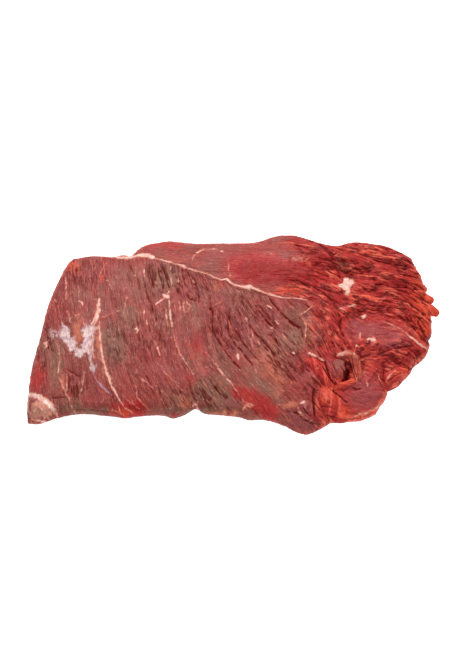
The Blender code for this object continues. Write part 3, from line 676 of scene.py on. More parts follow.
crackZones = [  # where gaps between bundles have opened
    (170, 278, 40, 18, 5, 0.6), (262, 320, 46, 24, 38, 0.4), (222, 338, 20, 30, 0, 0.35),
    (290, 368, 34, 12, 42, 0.7), (88, 276, 22, 14, 0, 0.5), (212, 396, 30, 12, 20, 0.6),
    (148, 335, 26, 26, 0, 0.35), (76, 386, 14, 14, 0, 0.4), (165, 395, 24, 10, 30, 0.4),
    (115, 345, 10, 24, -10, 0.4), (46, 350, 8, 22, 10, 0.5),
]
pits = [
    (346, 265, 6, 8, 0, 0.9), (342, 258, 4, 3, 30, 0.7), (352, 273, 4, 3, 0, 0.6), (76.5, 270, 1.6, 3, 15, 1),
    (66.9, 324.4, 2.6, 2, 0, 0.7), (70.6, 334, 1.6, 1.5, 0, 0.5), (347, 374, 4, 5, 0, 0.8),
    (329.6, 402.4, 2.4, 2, 0, 0.7), (354, 391, 4, 2, 0, 0.5),
]


def bundleCells(s, t, size, length, seed):  # 0 between two bundles, 1 on top, and a tone for each
    a = s / size + 0.35 * noise(s / (size * 4.0), t / length, seed + 3)
    b = t / length + 0.3 * noise(s / (size * 3.0), t / (length * 0.8), seed + 5)
    ia, ib = np.floor(a).astype(np.int64), np.floor(b).astype(np.int64)
    first, second = np.full(a.shape, farAway), np.full(a.shape, farAway)
    tone = np.zeros(a.shape)
    for da in (-1, 0, 1):
        for db in (-1, 0, 1):
            ca, cb = ia + da, ib + db
            d = np.hypot(a - ca - hashed(ca, cb, seed), b - cb - hashed(ca, cb, seed + 31))
            second = np.minimum(second, np.maximum(first, d))
            tone = np.where(d < first, hashed(ca, cb, seed + 57), tone)
            first = np.minimum(first, d)
    return np.clip((second - first) / 0.7, 0.0, 1.0), tone


def evenBundles(s, t, crowd, width, length, gap, seed):
    # bundles of about this width wherever the grain's lines spread
    level = np.log2(crowd)
    low = np.floor(level)
    share = ease(level - low)
    crest, tone, groove = np.zeros(s.shape), np.zeros(s.shape), np.zeros(s.shape)
    for k in range(-3, 3):
        weight = np.where(low == k, 1.0 - share, 0.0) + np.where(low + 1 == k, share, 0.0)
        if weight.any():
            ridge, own = bundleCells(s, t, width * 2.0 ** k, length, seed + 7 * k)
            crest += weight * ease(ridge)
            tone += weight * own
            groove += weight * ease(1.0 - ridge / gap)
    return crest, tone, groove


def smallCracks(s, t):  # short thin gaps that open here and there between bundles
    bend = noise(s / 22.0, t / 40.0, 16) * 0.5
    n = noise(s / 4.2 + bend, t / 26.0, 11)
    gate = ease((noise(s / 6.0, t / 12.0, 20) - 0.12) / 0.3)
    return np.exp(-((n / 0.12) ** 2)) * gate


tearing = {"front": (285.0, 50.0), "back": (250.0, 80.0)}  # where it begins in the picture, and its run


def tornShare(px, py):  # 1 in the torn, redder half
    front, back = (ease((px - start) / run) for start, run in tearing.values())
    return np.where(inFront(px, py), front, back)


muscle = {  # relief in mm; pairs are for the closed half, and for the torn half or what it adds
    "closed": (3.6, 30.0, 0.34, 11),  # a bundle's width and length, share of its gap, seed
    "torn": (4.0, 40.0, 0.32, 61),
    "bundles": (0.35, 1.8),
    "lumps": (0.2, 0.85),
    "tones": (0.3, 0.8),
    "knots": 0.8,
    "creases": 0.95,
    "cracks": 0.5,
    "pits": 1.6,
    "smoothed": 0.8,
}


def meatRelief(x, y, px, py, s, t):
    # relief in mm, how deep in a crease each point is (drawn as painted shade), and each bundle's own tone
    rough = 1.0 + 0.5 * noise(px / 5.0, py / 5.0, 301)
    drawn = np.clip(strokeField(px, py, marks["creases"]) * rough, 0.0, 1.0)
    raised = strokeField(px, py, marks["ridges"])
    pit = blotchField(px, py, pits)
    cut = tornShare(px, py)
    crowd = crowding(x, y)
    small, tone, thin = evenBundles(s, t, crowd, *muscle["closed"])
    large, tornTone, wide = evenBundles(s, t, crowd, *muscle["torn"])
    tone = tone * (1.0 - cut) + tornTone * cut
    crest = small * (1.0 - cut) + large * cut
    lumps = layered(x / 14.0, y / 14.0, 91)
    knots = layered(s / 5.5, t / 14.0, 151, 2) * cut
    plain = np.clip(blotchField(px, py, smoothPatches), 0.0, 1.0)
    calm = 1.0 - muscle["smoothed"] * plain
    patchy = (0.25 + 0.75 * ease(noise(s / 12.0, t / 26.0, 131) + 0.5)) * calm
    cracked = np.clip(0.3 + blotchField(px, py, crackZones) + 0.5 * cut, 0.0, 1.0) * calm
    cracks = smallCracks(s, t) * cracked
    bundles, lumpy, toned = muscle["bundles"], muscle["lumps"], muscle["tones"]
    relief = (bundles[0] * (1.0 - cut) + bundles[1] * cut) * patchy * (crest - 0.7)
    relief = relief + (lumpy[0] + lumpy[1] * cut) * lumps
    relief = relief + (toned[0] + toned[1] * cut) * (tone - 0.5) * crest * calm
    relief = relief + muscle["knots"] * knots * (1.0 - 0.7 * plain)
    relief = relief - muscle["creases"] * drawn - muscle["cracks"] * cracks + raised - muscle["pits"] * pit
    groove = (thin * (0.1 + 0.25 * cracked) * (1.0 - cut) + 0.8 * wide * cut) * patchy
    # painted shade: darker in the drawn creases, the grooves between bundles, the cracks and the pits
    creaseShade = np.maximum(np.maximum(drawn, groove * (1.0 - 0.5 * knots)), np.maximum(0.65 * cracks, 0.8 * pit))
    # painted highlight on the torn half's bundle crests and on the knots
    crestHighlight = np.clip(0.45 * crest * cut + 0.7 * knots, 0.0, 1.0) * (1.0 - 0.7 * plain)
    return relief, creaseShade, tone, crestHighlight, cracked, plain


def setAttribute(mesh, name, values):
    layer = mesh.attributes.new(name, "FLOAT", "POINT")
    layer.data.foreach_set("value", np.ascontiguousarray(values, np.float32))


def getAttribute(mesh, name):
    values = np.empty(len(mesh.vertices), np.float32)
    mesh.attributes[name].data.foreach_get("value", values)
    return values.astype(float)


def getPoints(mesh):
    flat = np.empty(len(mesh.vertices) * 3, np.float32)
    mesh.vertices.foreach_get("co", flat)
    return flat.reshape(-1, 3).astype(float)


def setPoints(mesh, points):
    mesh.vertices.foreach_set("co", np.ascontiguousarray(points, np.float32).ravel())
    mesh.update()


wander = {  # how the drawn marks waver: sizes and ways in pixels of the picture
    "slowSize": 4.0,
    "fineSize": 1.7,
    "strokes": 0.7,
    "seam": 0.4,
    "spots": 1.4,
    "spotEdge": (1.6, 1.4),
    "blotchSize": 9.0,
    "blotches": 3.0,
}


def dress(mesh, px, py, values):  # what the material reads at each point
    def waver(size, *seeds):
        return [noise(px / size, py / size, seed) for seed in seeds]

    slowX, slowY = waver(wander["slowSize"], 401, 431)
    fineX, fineY = waver(wander["fineSize"], 421, 441)
    ragged = 0.86 + 0.3 * waver(4.5, 461)[0] + 0.3 * waver(12.0, 491)[0]
    way, edge = wander["strokes"], wander["spotEdge"]
    for name in ["fat", "silver"]:
        strokes = strokeField(px + slowX * way, py + slowY * way, marks[name])
        values[name] = strokes * np.clip(ragged, 0.15, 1.1)
    way = wander["spots"]
    spots = blotchField(px + slowX * way + fineX * edge[0], py + slowY * way + fineY * edge[1], fatSpots)
    spots = np.minimum(spots * np.clip(ragged + 0.1, 0.2, 1.1), 0.95 + 0.25 * fineX)
    seam = strokeField(px, py + slowY * wander["seam"], seamFat)
    values["fat"] = np.maximum(np.maximum(values["fat"], spots), seam)
    way, size = wander["blotches"], wander["blotchSize"]
    warpX, warpY = (at + way * layered(px / size, py / size, seed) for at, seed in ((px, 201), (py, 231)))
    for name in blotches:
        values[name] = blotchField(warpX, warpY, blotches[name]) + values.get(name, 0.0)
    for name, value in values.items():
        setAttribute(mesh, name, value)


def spread(share, length):  # rows closer together at both rims
    edge, pull = 9.0 / length, 0.55
    near = np.clip(share / edge, 0, 1)
    far = np.clip((1 - share) / edge, 0, 1)
    near = share - edge * pull * np.sin(np.pi * near) / np.pi * (near < 1)
    return near + edge * pull * np.sin(np.pi * far) / np.pi * (far < 1)


def rimDistance(u, v, x, y):  # mm to the outline, far from it only a large number
    ring = np.linspace(0, 1, slab["outlinePoints"])
    fl, fr, bl, br = (np.array(slab[k]) for k in ("frontLeft", "frontRight", "backLeft", "backRight"))
    outline = np.concatenate([
        edgePoints(ring, fl, fr, slab["frontSwells"], False),
        edgePoints(ring, fr, br, slab["rightSwells"], True),
        edgePoints(ring, bl, br, slab["backSwells"], False),
        edgePoints(ring, fl, bl, slab["leftSwells"], True),
    ])
    inward = np.full(x.shape, farAway)
    reach = slab["slopeRun"] * 1.3
    nearRim = np.minimum(u, 1 - u) * slab["length"] < reach
    nearRim |= np.minimum(v, 1 - v) * slab["depth"] < reach
    for chunk in np.array_split(np.nonzero(nearRim)[0], 40):
        d = np.hypot(x[chunk, None] - outline[None, :, 0], y[chunk, None] - outline[None, :, 1])
        inward[chunk] = d.min(1)
    return inward


def turnRimUnder(mesh):
    for inset, share in slab["turnedUnder"]:
        bpy.ops.object.mode_set(mode="EDIT")
        bpy.ops.mesh.select_mode(type="EDGE")
        bpy.ops.mesh.select_all(action="DESELECT")
        bpy.ops.mesh.select_non_manifold()
        bpy.ops.mesh.extrude_region_move()
        bpy.ops.object.mode_set(mode="OBJECT")
        chosen = np.empty(len(mesh.vertices), bool)
        mesh.vertices.foreach_get("select", chosen)
        points = getPoints(mesh) / mm
        u, v, edge = (getAttribute(mesh, k)[chosen] for k in ("shareU", "shareV", "rimZ"))
        u = inset / slab["length"] + u * (1 - 2 * inset / slab["length"])
        v = inset / slab["depth"] + v * (1 - 2 * inset / slab["depth"])
        points[chosen, :2] = planAt(u, v) - slab["centre"]
        points[chosen, 2] = edge * share
        setPoints(mesh, points * mm)
    bpy.ops.object.mode_set(mode="EDIT")
    bpy.ops.mesh.edge_face_add()
    bpy.ops.object.mode_set(mode="OBJECT")


def finishMesh(mesh):
    bpy.ops.object.mode_set(mode="EDIT")
    bpy.ops.mesh.select_all(action="SELECT")
    bpy.ops.mesh.normals_make_consistent(inside=False)
    bpy.ops.object.mode_set(mode="OBJECT")
    mesh.shade_smooth()


def makeSlab():
    bpy.ops.object.select_all(action="DESELECT")
    bpy.ops.mesh.primitive_grid_add(
        x_subdivisions=slab["meshAcross"], y_subdivisions=slab["meshDeep"], size=2.0, location=(0, 0, 0))
    piece = bpy.context.object
    piece.name = piece.data.name = "meatSlab"
    mesh = piece.data
    square = getPoints(mesh)
    u = spread(np.clip(square[:, 0] * 0.5 + 0.5, 0, 1), slab["length"])
    v = spread(np.clip(square[:, 1] * 0.5 + 0.5, 0, 1), slab["depth"])
    x, y = planAt(u, v).T
    inward = rimDistance(u, v, x, y)
    roll = np.sqrt(1.0 - (1.0 - np.clip(inward / slab["rimRoll"], 0.0, 1.0)) ** 2)
    roll = (1.0 - slab["slopeShare"]) * roll + slab["slopeShare"] * ease(inward / slab["slopeRun"])
    z = broadThickness(x, y) * (slab["rimShare"] + (1.0 - slab["rimShare"]) * roll)
    x, y = x - slab["centre"][0], y - slab["centre"][1]
    px, py = onPhoto(x, y, z)
    s, t = grainAt(x, y)
    relief, crease, tone, crest, cracked, plain = meatRelief(x, y, px, py, s, t)
    inside = 0.25 + 0.75 * ease(inward / slab["reliefFade"])
    torn = tornShare(px, py)
    throughRim = 0.8 * ease(1.0 - inward / slab["thinRim"]) * torn  # painted light, as if shining through the thin rim
    # crest carries the painted highlight: crests, knots and light through the thin rim
    values = {
        "across": s, "along": t, "tone": tone, "crest": np.maximum(crest * inside, throughRim),
        "crease": crease * (0.6 + 0.4 * inside), "torn": torn, "cracked": cracked, "plain": plain,
        "orange": 0.7 * ease(1.0 - inward / slab["reliefFade"]) * (y > 0), "shareU": u, "shareV": v,
    }
    dress(mesh, px, py, values)
    fat = values["fat"]
    z = z + (relief * (1.0 - 0.7 * fat) + 0.35 * fat) * inside
    setAttribute(mesh, "rimZ", z)
    setPoints(mesh, np.stack([x, y, z], -1) * mm)
    turnRimUnder(mesh)
    finishMesh(mesh)
    return piece


# Folds and lips that stand out of the slab: a tilt, shares of the blotches' colours,
# and stations of x, y, z, half width and half height in mm
lobes = {
    "fatCorner": {"stations": [
        (-151.5, -65, 7.4, 3, 3), (-147.5, -69.5, 9.2, 6.8, 5.8), (-142.5, -74.5, 9.2, 7.4, 6.2),
        (-137, -79.5, 7.2, 3.4, 3.4)]},
    "redFlap": {"tilt": 8, "torn": 0.9, "orange": 0.12, "deepRed": 0.15, "stations": [
        (69.3, -57.2, 12, 3.4, 2.6), (70.6, -65, 12.6, 8, 4.8), (76.6, -70, 11, 13.6, 4.8),
        (81.6, -73.4, 9, 14, 4.2)]},
    "fatLump": {"torn": 0.3, "tan": 0.35, "mauve": 0.5, "stations": [
        (51.7, -67.6, 10.2, 3, 2.4), (55.3, -72.9, 11.6, 6, 3.8), (57.4, -77.4, 10.6, 6.4, 3.8),
        (59.7, -80.5, 8, 3.4, 2.6)]},
    "longRidge": {"tilt": 16, "torn": 0.9, "red": 0.6, "deepRed": 0.2, "stations": [
        (52.9, -28.3, 10.8, 2.8, 2.2), (58.7, -33.4, 12.8, 4.8, 3.6), (64.9, -39.6, 13.6, 6, 4.4),
        (70.3, -47.7, 13.4, 6.2, 4.6), (74.6, -55.6, 12.2, 5, 3.8), (77.1, -60.1, 10.6, 2.8, 2.4)]},
    "rolledLobe": {"tilt": -12, "torn": 0.3, "mauve": 0.9, "brown": 0.15, "stations": [
        (83, -30.4, 12.2, 3.2, 2.4), (80.6, -37.4, 13.8, 6.2, 4), (79.9, -44.6, 13.8, 6.6, 4.2),
        (82.4, -50.4, 11.6, 4, 3)]},
    "brightLip": {"tilt": 14, "torn": 1, "orange": 0.4, "stations": [
        (76.1, -57.5, 11.6, 2.4, 2), (81.3, -56.8, 13.6, 3.6, 3), (87, -54.9, 14, 3.8, 3),
        (92.6, -51.6, 12.4, 2.6, 2)]},
    "tanStrip": {"tilt": -8, "torn": 0.6, "tan": 0.38, "amber": 0.3, "stations": [
        (81, -30.9, 13.4, 2.4, 2), (87.1, -28.8, 14.8, 3.6, 2.8), (92.3, -31.4, 15.2, 4, 3),
        (94.6, -37.6, 15, 3.8, 3), (95.4, -45.4, 14.2, 3.6, 3), (97, -51.8, 12.6, 3.2, 2.6),
        (99.2, -56.2, 10.6, 2.2, 1.8)]},
    "lobeFlap": {"tilt": 12, "torn": 1, "orange": 0.1, "stations": [
        (117.7, -53.4, 6.8, 3, 2.4), (120, -47.9, 10, 5.6, 4), (125.7, -42.4, 10.4, 6, 4.2),
        (132.4, -36.7, 8.2, 3.4, 2.6)]},
    "upperStrand": {"torn": 1, "orange": 0.5, "stations": [
        (138.4, 42.1, 7.4, 5, 3.2), (147.9, 41.9, 7, 5.2, 3), (151.9, 40.6, 6.4, 4.4, 2.8),
        (153.6, 39.8, 5.8, 3.4, 2.2)]},
    "middleStrand": {"torn": 1, "orange": 0.5, "stations": [
        (140.1, 33.8, 7.8, 5.2, 3.5), (150.3, 32.2, 7, 5, 3.2), (155.7, 30.4, 6.2, 4.2, 2.8),
        (158.4, 29.4, 5.6, 3.2, 2.4)]},
    "lowerStrand": {"torn": 1, "orange": 0.5, "stations": [
        (139.4, 24.5, 7.8, 5.2, 3.6), (149.6, 22.7, 7.2, 4.8, 3.2), (157.3, 19.4, 6.2, 4.4, 3),
        (161.6, 17.4, 5.4, 3.4, 2.5)]},
}
lobeMesh = {
    "around": 104,
    "rings": 80,
    "tip": 0.7,
    "tipShare": 0.09,
    "lowest": 0.3,
    "folds": 0.9,
    "bundles": (1.8, 20.0, 801),  # width, length, seed
    "swell": 0.15,
    "swellSize": 7.0,
    "lit": (0.05, 0.26, 0.22),  # painted light: everywhere, on the bundles, on the upper side
    "cracked": 0.2,
    "plain": 0.5,
}


def smoothStations(stations, places):
    known = np.array(stations, float)
    padded = np.concatenate([2 * known[:1] - known[1:2], known, 2 * known[-1:] - known[-2:-1]])
    k = np.clip(places.astype(int), 0, len(known) - 2)
    t = (places - k)[:, None]
    a, b, c, d = padded[k], padded[k + 1], padded[k + 2], padded[k + 3]
    return 0.5 * (2 * b + (c - a) * t + (2 * a - 5 * b + 4 * c - d) * t * t + (3 * b - a - 3 * c + d) * t ** 3)


def makeLobe(name, form):
    bpy.ops.object.select_all(action="DESELECT")
    bpy.ops.mesh.primitive_uv_sphere_add(
        segments=lobeMesh["around"], ring_count=lobeMesh["rings"], radius=1.0, location=(0, 0, 0))
    piece = bpy.context.object
    piece.name = piece.data.name = name
    mesh = piece.data
    ball = getPoints(mesh)
    down = np.arccos(np.clip(ball[:, 2], -1, 1)) / np.pi  # 0 at one tip, 1 at the other
    turn = np.arctan2(ball[:, 1], ball[:, 0])
    last = len(form["stations"]) - 1
    tip = lobeMesh["tipShare"]
    rows = np.linspace(0.0, 1.0, lobeMesh["rings"] + 1)
    share = np.clip((rows - tip) / (1 - 2 * tip), 0.0, 1.0)
    run = smoothStations(form["stations"], share * last)
    before = smoothStations(form["stations"], np.clip(share * last - 0.05, 0, last))[:, :3]
    after = smoothStations(form["stations"], np.clip(share * last + 0.05, 0, last))[:, :3]
    forward = (after - before) / np.linalg.norm(after - before, axis=1)[:, None]
    into = np.clip(rows / tip, 0, 1) * np.clip((1 - rows) / tip, 0, 1)
    reach = lobeMesh["tip"] * run[:, 3] * np.cos(into * np.pi / 2)
    centre = run[:, :3] + forward * (reach * np.where(rows < 0.5, -1.0, 1.0))[:, None]
    size = np.sin(into * np.pi / 2)
    side = np.cross(forward, np.array([0.0, 0.0, 1.0]))
    side /= np.linalg.norm(side, axis=1)[:, None]
    up = np.cross(side, forward)
    angle = math.radians(form.get("tilt", 0.0))
    flat = side * math.cos(angle) + up * math.sin(angle)
    rising = up * math.cos(angle) - side * math.sin(angle)
    ring = np.rint(down * lobeMesh["rings"]).astype(int)
    gone = np.concatenate([[0.0], np.cumsum(np.linalg.norm(np.diff(centre, axis=0), axis=1))])
    s, t = turn * 5.0 + run[ring, 0], gone[ring]
    crest, tone = bundleCells(s, t, *lobeMesh["bundles"])
    bare = centre[ring] + flat[ring] * (run[ring, 3] * size[ring] * np.cos(turn))[:, None]
    bare = bare / lobeMesh["swellSize"]
    swell = 1.0 + lobeMesh["swell"] * layered(bare[:, 0], bare[:, 1], 851) + 0.06 * (crest - 0.6)
    wide, high = (run[ring, k] * size[ring] * swell for k in (3, 4))
    points = centre[ring] + flat[ring] * (wide * np.cos(turn))[:, None]
    points += rising[ring] * (high * np.sin(turn))[:, None]
    points[:, :2] -= slab["centre"]
    lowest = lobeMesh["lowest"]
    points[:, 2] = np.maximum(points[:, 2], lowest)
    px, py = onPhoto(*points.T)
    drawn = strokeField(px, py, marks["creases"] + marks["wrinkles"]) + blotchField(px, py, pits)
    drawn = np.clip(drawn, 0.0, 1.0)
    points[:, 2] = np.maximum(points[:, 2] - lobeMesh["folds"] * drawn * (turn > 0), lowest)
    torn = form.get("torn", 0.0)
    # painted light on the lobe's bundles and on its upper side, kept in crest
    base, ridge, upper = lobeMesh["lit"]
    lit = base + ridge * crest + upper * np.clip(np.sin(turn), 0.0, 1.0)
    values = {
        "across": s, "along": t, "tone": tone, "crest": lit * torn, "torn": np.full(s.shape, torn),
        "cracked": np.full(s.shape, lobeMesh["cracked"]), "plain": np.full(s.shape, lobeMesh["plain"]),
        # painted shade between the lobe's bundles and in its drawn creases
        "crease": np.maximum(ease(1.0 - crest / 0.3) * 0.42, drawn),
    }
    values.update((key, form[key]) for key in blotches if key in form)
    dress(mesh, px, py, values)
    setPoints(mesh, points * mm)
    finishMesh(mesh)
    return piece


class Wire:  # one shader socket, so that sums on masks read as sums
    def __init__(self, tree, socket=None):
        self.tree = tree
        self.socket = socket

    def node(self, kind, settings=None, inputs=None, out=0):
        made = self.tree.nodes.new(kind)
        for key, value in (settings or {}).items():
            setattr(made, key, value)
        for key, value in (inputs or {}).items():
            if isinstance(value, Wire):
                self.tree.links.new(value.socket, made.inputs[key])
            else:
                made.inputs[key].default_value = value
        return Wire(self.tree, made.outputs[out])

    def maths(self, operation, first, second):
        return self.node("ShaderNodeMath", {"operation": operation}, {0: first, 1: second})

    def __add__(self, other):
        return self.maths("ADD", self, other)

    def __sub__(self, other):
        return self.maths("SUBTRACT", self, other)

    def __rsub__(self, other):
        return self.maths("SUBTRACT", other, self)

    def __mul__(self, other):
        return self.maths("MULTIPLY", self, other)

    def __truediv__(self, other):
        return self.maths("DIVIDE", self, other)

    __radd__, __rmul__ = __add__, __mul__

    def band(self, low, high):  # 0 below low, 1 above high, smooth between
        return self.node("ShaderNodeMapRange", {"interpolation_type": "SMOOTHSTEP"},
                         {0: self, 1: low, 2: high, 3: 0.0, 4: 1.0})

    def colourMix(self, mask, first, second):
        return self.node("ShaderNodeMix", {"data_type": "RGBA"}, {0: mask, 6: first, 7: second}, out=2)


meatLook = {
    "dusty": (0.32, 0.056, 0.049, 1),
    "deep": (0.225, 0.040, 0.036, 1),
    "pale": (0.47, 0.13, 0.11, 1),
    "red": (0.44, 0.024, 0.024, 1),
    "orange": (0.62, 0.060, 0.026, 1),
    "tornRed": (0.41, 0.023, 0.019, 1),
    # painted highlight on crests and lumps
    "crestHighlight": (0.78, 0.138, 0.084, 1),
    "brown": (0.22, 0.102, 0.070, 1),
    "mauve": (0.285, 0.063, 0.067, 1),
    "tan": (0.60, 0.27, 0.19, 1),
    "halo": (0.60, 0.19, 0.125, 1),
    "fat": (0.74, 0.45, 0.38, 1),
    "whiteFat": (0.88, 0.72, 0.64, 1),
    "silver": (0.42, 0.24, 0.27, 1),
    "lavender": (0.42, 0.24, 0.31, 1),
    "silverWhite": (0.76, 0.57, 0.54, 1),
    # pale specks, partly painted glints
    "paleFleckAndGlint": (0.60, 0.28, 0.24, 1),
    "amber": (0.54, 0.155, 0.085, 1),
    "deepRed": (0.235, 0.007, 0.007, 1),
    # painted shade in creases and gaps, and the dark grain lines along the fibres
    "shadeAndGrainLines": (0.10, 0.004, 0.004, 1),
    "roughness": 0.47,
    "specular": 0.05,
    "coat": 0.025,
    "coatRoughness": 0.25,
    "softLight": 0.05,
    "softRadius": (1.0, 0.35, 0.25),
    "softScale": 0.001,
    "fibreBump": 0.0009,
    "bumpStrength": 0.7,
    "upright": 400.0,  # how fast the fibres' pattern changes with height
    "patches": {  # low and high end of the mask, share, speckle, raggedness along the fibres
        "torn": (0.1, 0.9, 0.8, 0.0, 0.6),
        "mauve": (0.1, 1.1, 0.8, 0.0, 1.0),
        "brown": (0.15, 1.0, 0.85, 0.8, 1.0),
        "red": (0.15, 1.2, 0.75, 1.2, 0.6),
        "orange": (0.2, 1.0, 0.85, 0.0, 1.0),
        "amber": (0.2, 1.0, 0.8, 0.8, 0.6),
        "deepRed": (0.1, 1.1, 0.75, 1.0, 0.5),
        "tan": (0.3, 0.8, 0.9, 0.0, 1.0),
        "sheath": (0.2, 1.35, 0.88, 1.1, 1.0),
        "silver": (0.4, 1.0, 0.75, 0.0, 1.0),
    },
}


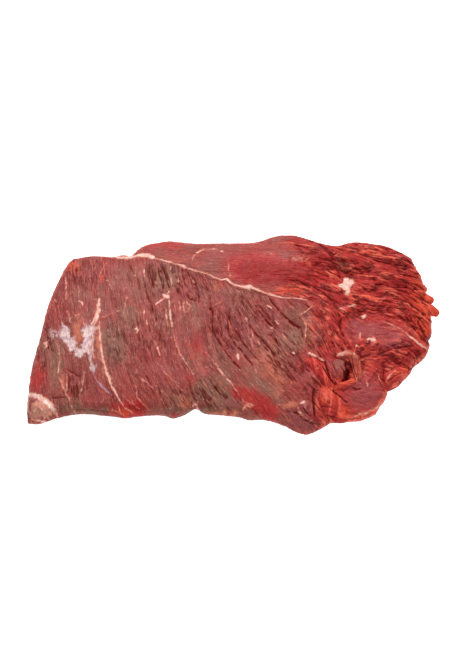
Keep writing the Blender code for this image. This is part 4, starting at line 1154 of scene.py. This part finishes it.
def makeMeatMaterial():
    material = bpy.data.materials.new("rawBeef")
    material.use_nodes = True
    tree = material.node_tree
    tree.nodes.clear()
    w = Wire(tree)
    look = meatLook
    onPiece = w.node("ShaderNodeTexCoord", out="Object")
    height = w.node("ShaderNodeSeparateXYZ", {}, {0: onPiece}, out=2)

    def field(name):
        return w.node("ShaderNodeAttribute", {"attribute_name": name}, out="Fac")

    across, along, tone = field("across"), field("along"), field("tone")
    torn, plain, creased = field("torn"), field("plain"), field("crease")

    def place(size, stretch):
        return w.node("ShaderNodeCombineXYZ", {}, {
            0: across / size, 1: along / (size * stretch), 2: height * (look["upright"] / size)})

    def cloudy(where, scale, detail, roughness):
        return w.node("ShaderNodeTexNoise", {}, {
            "Vector": where, "Scale": scale, "Detail": detail, "Roughness": roughness})

    def fibre(size, stretch, detail=3.0):
        return cloudy(place(size, stretch), 1.0, detail, 0.55)

    def gaps(size, stretch, detail, thin, wide):  # thin dark lines along the fibres
        line = w.maths("ABSOLUTE", fibre(size, stretch, detail) - 0.5, 0.0)
        return 1.0 - line.band(thin, wide)

    streak = fibre(1.3, 12.0)
    broad = fibre(7.0, 4.0)
    fleckGlintNoise = fibre(0.8, 3.0, 2.0)
    grit = fibre(1.6, 1.3)
    dash = fibre(1.7, 4.2, 2.0)
    strands = w.node("ShaderNodeTexVoronoi", {"feature": "DISTANCE_TO_EDGE"}, {
        "Vector": place(1.5, 11.0), "Scale": 1.0})
    threads = 1.0 - strands.band(0.0, 0.16)
    between = fibre(6.0, 3.0, 2.0).band(0.42, 0.58)  # where the thin lines are fat, and where they are gaps
    mottle = cloudy(onPiece, 260.0, 3.0, 0.6)
    cloud = cloudy(onPiece, 45.0, 3.0, 0.6)
    wideGaps = gaps(4.4, 6.0, 2.0, 0.015, 0.075) * fibre(4.0, 2.6, 2.0).band(0.42, 0.52)
    fineGaps = gaps(2.9, 8.0, 1.0, 0.01, 0.05) * fibre(3.3, 2.2, 2.0).band(0.47, 0.56)
    gap = w.maths("MAXIMUM", wideGaps, fineGaps) * field("cracked").band(0.05, 0.85)
    ragged = (grit - 0.5) * 0.8 + (streak - 0.5) * 0.6

    def patch(name):
        low, high, share, speckle, alongFibres = look["patches"][name]
        return (field(name) + (mottle - 0.5) * speckle + ragged * alongFibres).band(low, high) * share

    less = (1.0 - torn * 0.6) * (1.0 - plain * 0.65) * (1.0 - field("red").band(0.2, 1.0) * 0.6)
    lines = 1.0 - plain * 0.75
    # painted highlight where crests, streaks, tones and mottle add up
    lit = field("crest") + (streak - 0.5) * 0.9 + (tone - 0.5) * 0.7 + (mottle - 0.5) * 0.8
    skin = w.colourMix((mottle * 0.5 + cloud * 0.7).band(0.48, 0.72), look["silver"], look["silverWhite"])
    fat = field("fat") + (grit - 0.5) * 0.5 + (mottle - 0.5) * 0.9
    colour = w.colourMix((broad * 0.5 + tone * 0.5).band(0.3, 0.7), look["dusty"], look["deep"])
    for share, tint in [
        (patch("torn"), "tornRed"),
        (patch("mauve"), "mauve"),
        (cloud.band(0.4, 0.68) * (1.0 - torn) * 0.42, "brown"),
        (patch("brown"), "brown"),
        (patch("red"), "red"),
        (patch("orange"), "orange"),
        (patch("amber"), "amber"),
        (patch("deepRed"), "deepRed"),
        (lit.band(0.2, 0.88) * 0.78, "crestHighlight"),
        (patch("tan"), "tan"),
        (streak.band(0.53, 0.76) * 0.22 * less, "pale"),
        (threads * between * 0.2 * less, "pale"),
        # pale specks along the fibres, partly painted glints
        (fleckGlintNoise.band(0.61, 0.72) * 0.6 * (less + plain * 0.3), "paleFleckAndGlint"),
        # dark grain lines along the fibres, then painted shade in the gaps between threads and bundles and in
        # the creases
        (streak.band(0.47, 0.27) * 0.2 * lines, "shadeAndGrainLines"),
        (threads * (1.0 - between) * 0.16 * lines, "shadeAndGrainLines"),
        # short pale dashes, partly painted glints
        (dash.band(0.6, 0.76) * 0.28 * less, "paleFleckAndGlint"),
        (gap * 0.85, "shadeAndGrainLines"),
        ((creased + (streak - 0.5) * 0.25).band(0.42, 0.84) * 0.96, "shadeAndGrainLines"),
        (patch("sheath"), skin),
        (patch("silver"), "lavender"),
        (fat.band(0.12, 0.5) * 0.55, "halo"),
        (fat.band(0.36, 0.82) * 0.82, "fat"),
        (fat.band(0.85, 1.3) * 0.8, "whiteFat"),
        (height.band(0.0045, 0.0008) * 0.6, "shadeAndGrainLines"),  # painted shade where the edge turns under, darker towards the floor
    ]:
        colour = w.colourMix(share, colour, tint if isinstance(tint, Wire) else look[tint])
    bump = w.node("ShaderNodeBump", {}, {
        "Strength": look["bumpStrength"], "Distance": look["fibreBump"],
        "Height": streak + fibre(3.0, 8.0) * 1.4 + fleckGlintNoise * 0.5 - threads * 0.5 - gap * 0.8})
    shader = w.node("ShaderNodeBsdfPrincipled", {}, {
        "Base Color": colour, "Roughness": look["roughness"] + creased.band(0.2, 0.7) * 0.45, "Normal": bump,
        "Specular IOR Level": look["specular"], "Subsurface Weight": look["softLight"],
        "Coat Weight": look["coat"], "Coat Roughness": look["coatRoughness"],
        "Subsurface Radius": look["softRadius"], "Subsurface Scale": look["softScale"]})
    end = tree.nodes.new("ShaderNodeOutputMaterial")
    tree.links.new(shader.socket, end.inputs["Surface"])
    return material


studio = {
    "world": 0.28,
    "lamps": {  # power in W, size and place in m
        "softKey": (11.6, 0.32, (-0.10, 0.62, 0.68)),
        "frontFill": (6.6, 0.8, (0.45, -0.85, 0.75)),
    },
    "floorColour": (0.94, 0.94, 0.94, 1),
    "floorGlow": 0.78,
    "floorSize": 24.0,
}


def makeStudio():
    bpy.ops.object.select_all(action="DESELECT")
    bpy.ops.mesh.primitive_plane_add(size=studio["floorSize"], location=(0, 0, 0))
    floor = bpy.context.object
    floor.name = "floor"
    material = bpy.data.materials.new("paleFloor")
    material.use_nodes = True
    shader = material.node_tree.nodes["Principled BSDF"]
    shader.inputs["Base Color"].default_value = studio["floorColour"]
    shader.inputs["Roughness"].default_value = 1.0
    shader.inputs["Specular IOR Level"].default_value = 0.0
    shader.inputs["Emission Color"].default_value = (1, 1, 1, 1)
    shader.inputs["Emission Strength"].default_value = studio["floorGlow"]
    floor.data.materials.append(material)
    world = bpy.data.worlds.new("studio")
    world.use_nodes = True
    world.node_tree.nodes["Background"].inputs[0].default_value = (1, 1, 1, 1)
    world.node_tree.nodes["Background"].inputs[1].default_value = studio["world"]
    bpy.context.scene.world = world
    for name, (power, size, at) in studio["lamps"].items():
        lamp = bpy.data.lights.new(name, "AREA")
        lamp.energy = power
        lamp.size = size
        light = bpy.data.objects.new(name, lamp)
        bpy.context.scene.collection.objects.link(light)
        light.location = at
        light.rotation_euler = (-Vector(at)).to_track_quat("-Z", "Y").to_euler()
    bpy.context.scene.view_settings.view_transform = "Standard"


makeCamera()
makeStudio()
print("camera and studio made")
rawBeef = makeMeatMaterial()
pieces = [makeSlab()] + [makeLobe(name, form) for name, form in lobes.items()]
for piece in pieces:
    piece.data.materials.clear()
    piece.data.materials.append(rawBeef)
    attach(piece, "root")
    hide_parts("meat")
print("slab and lobes made:", sum(len(piece.data.polygons) for piece in pieces), "faces")
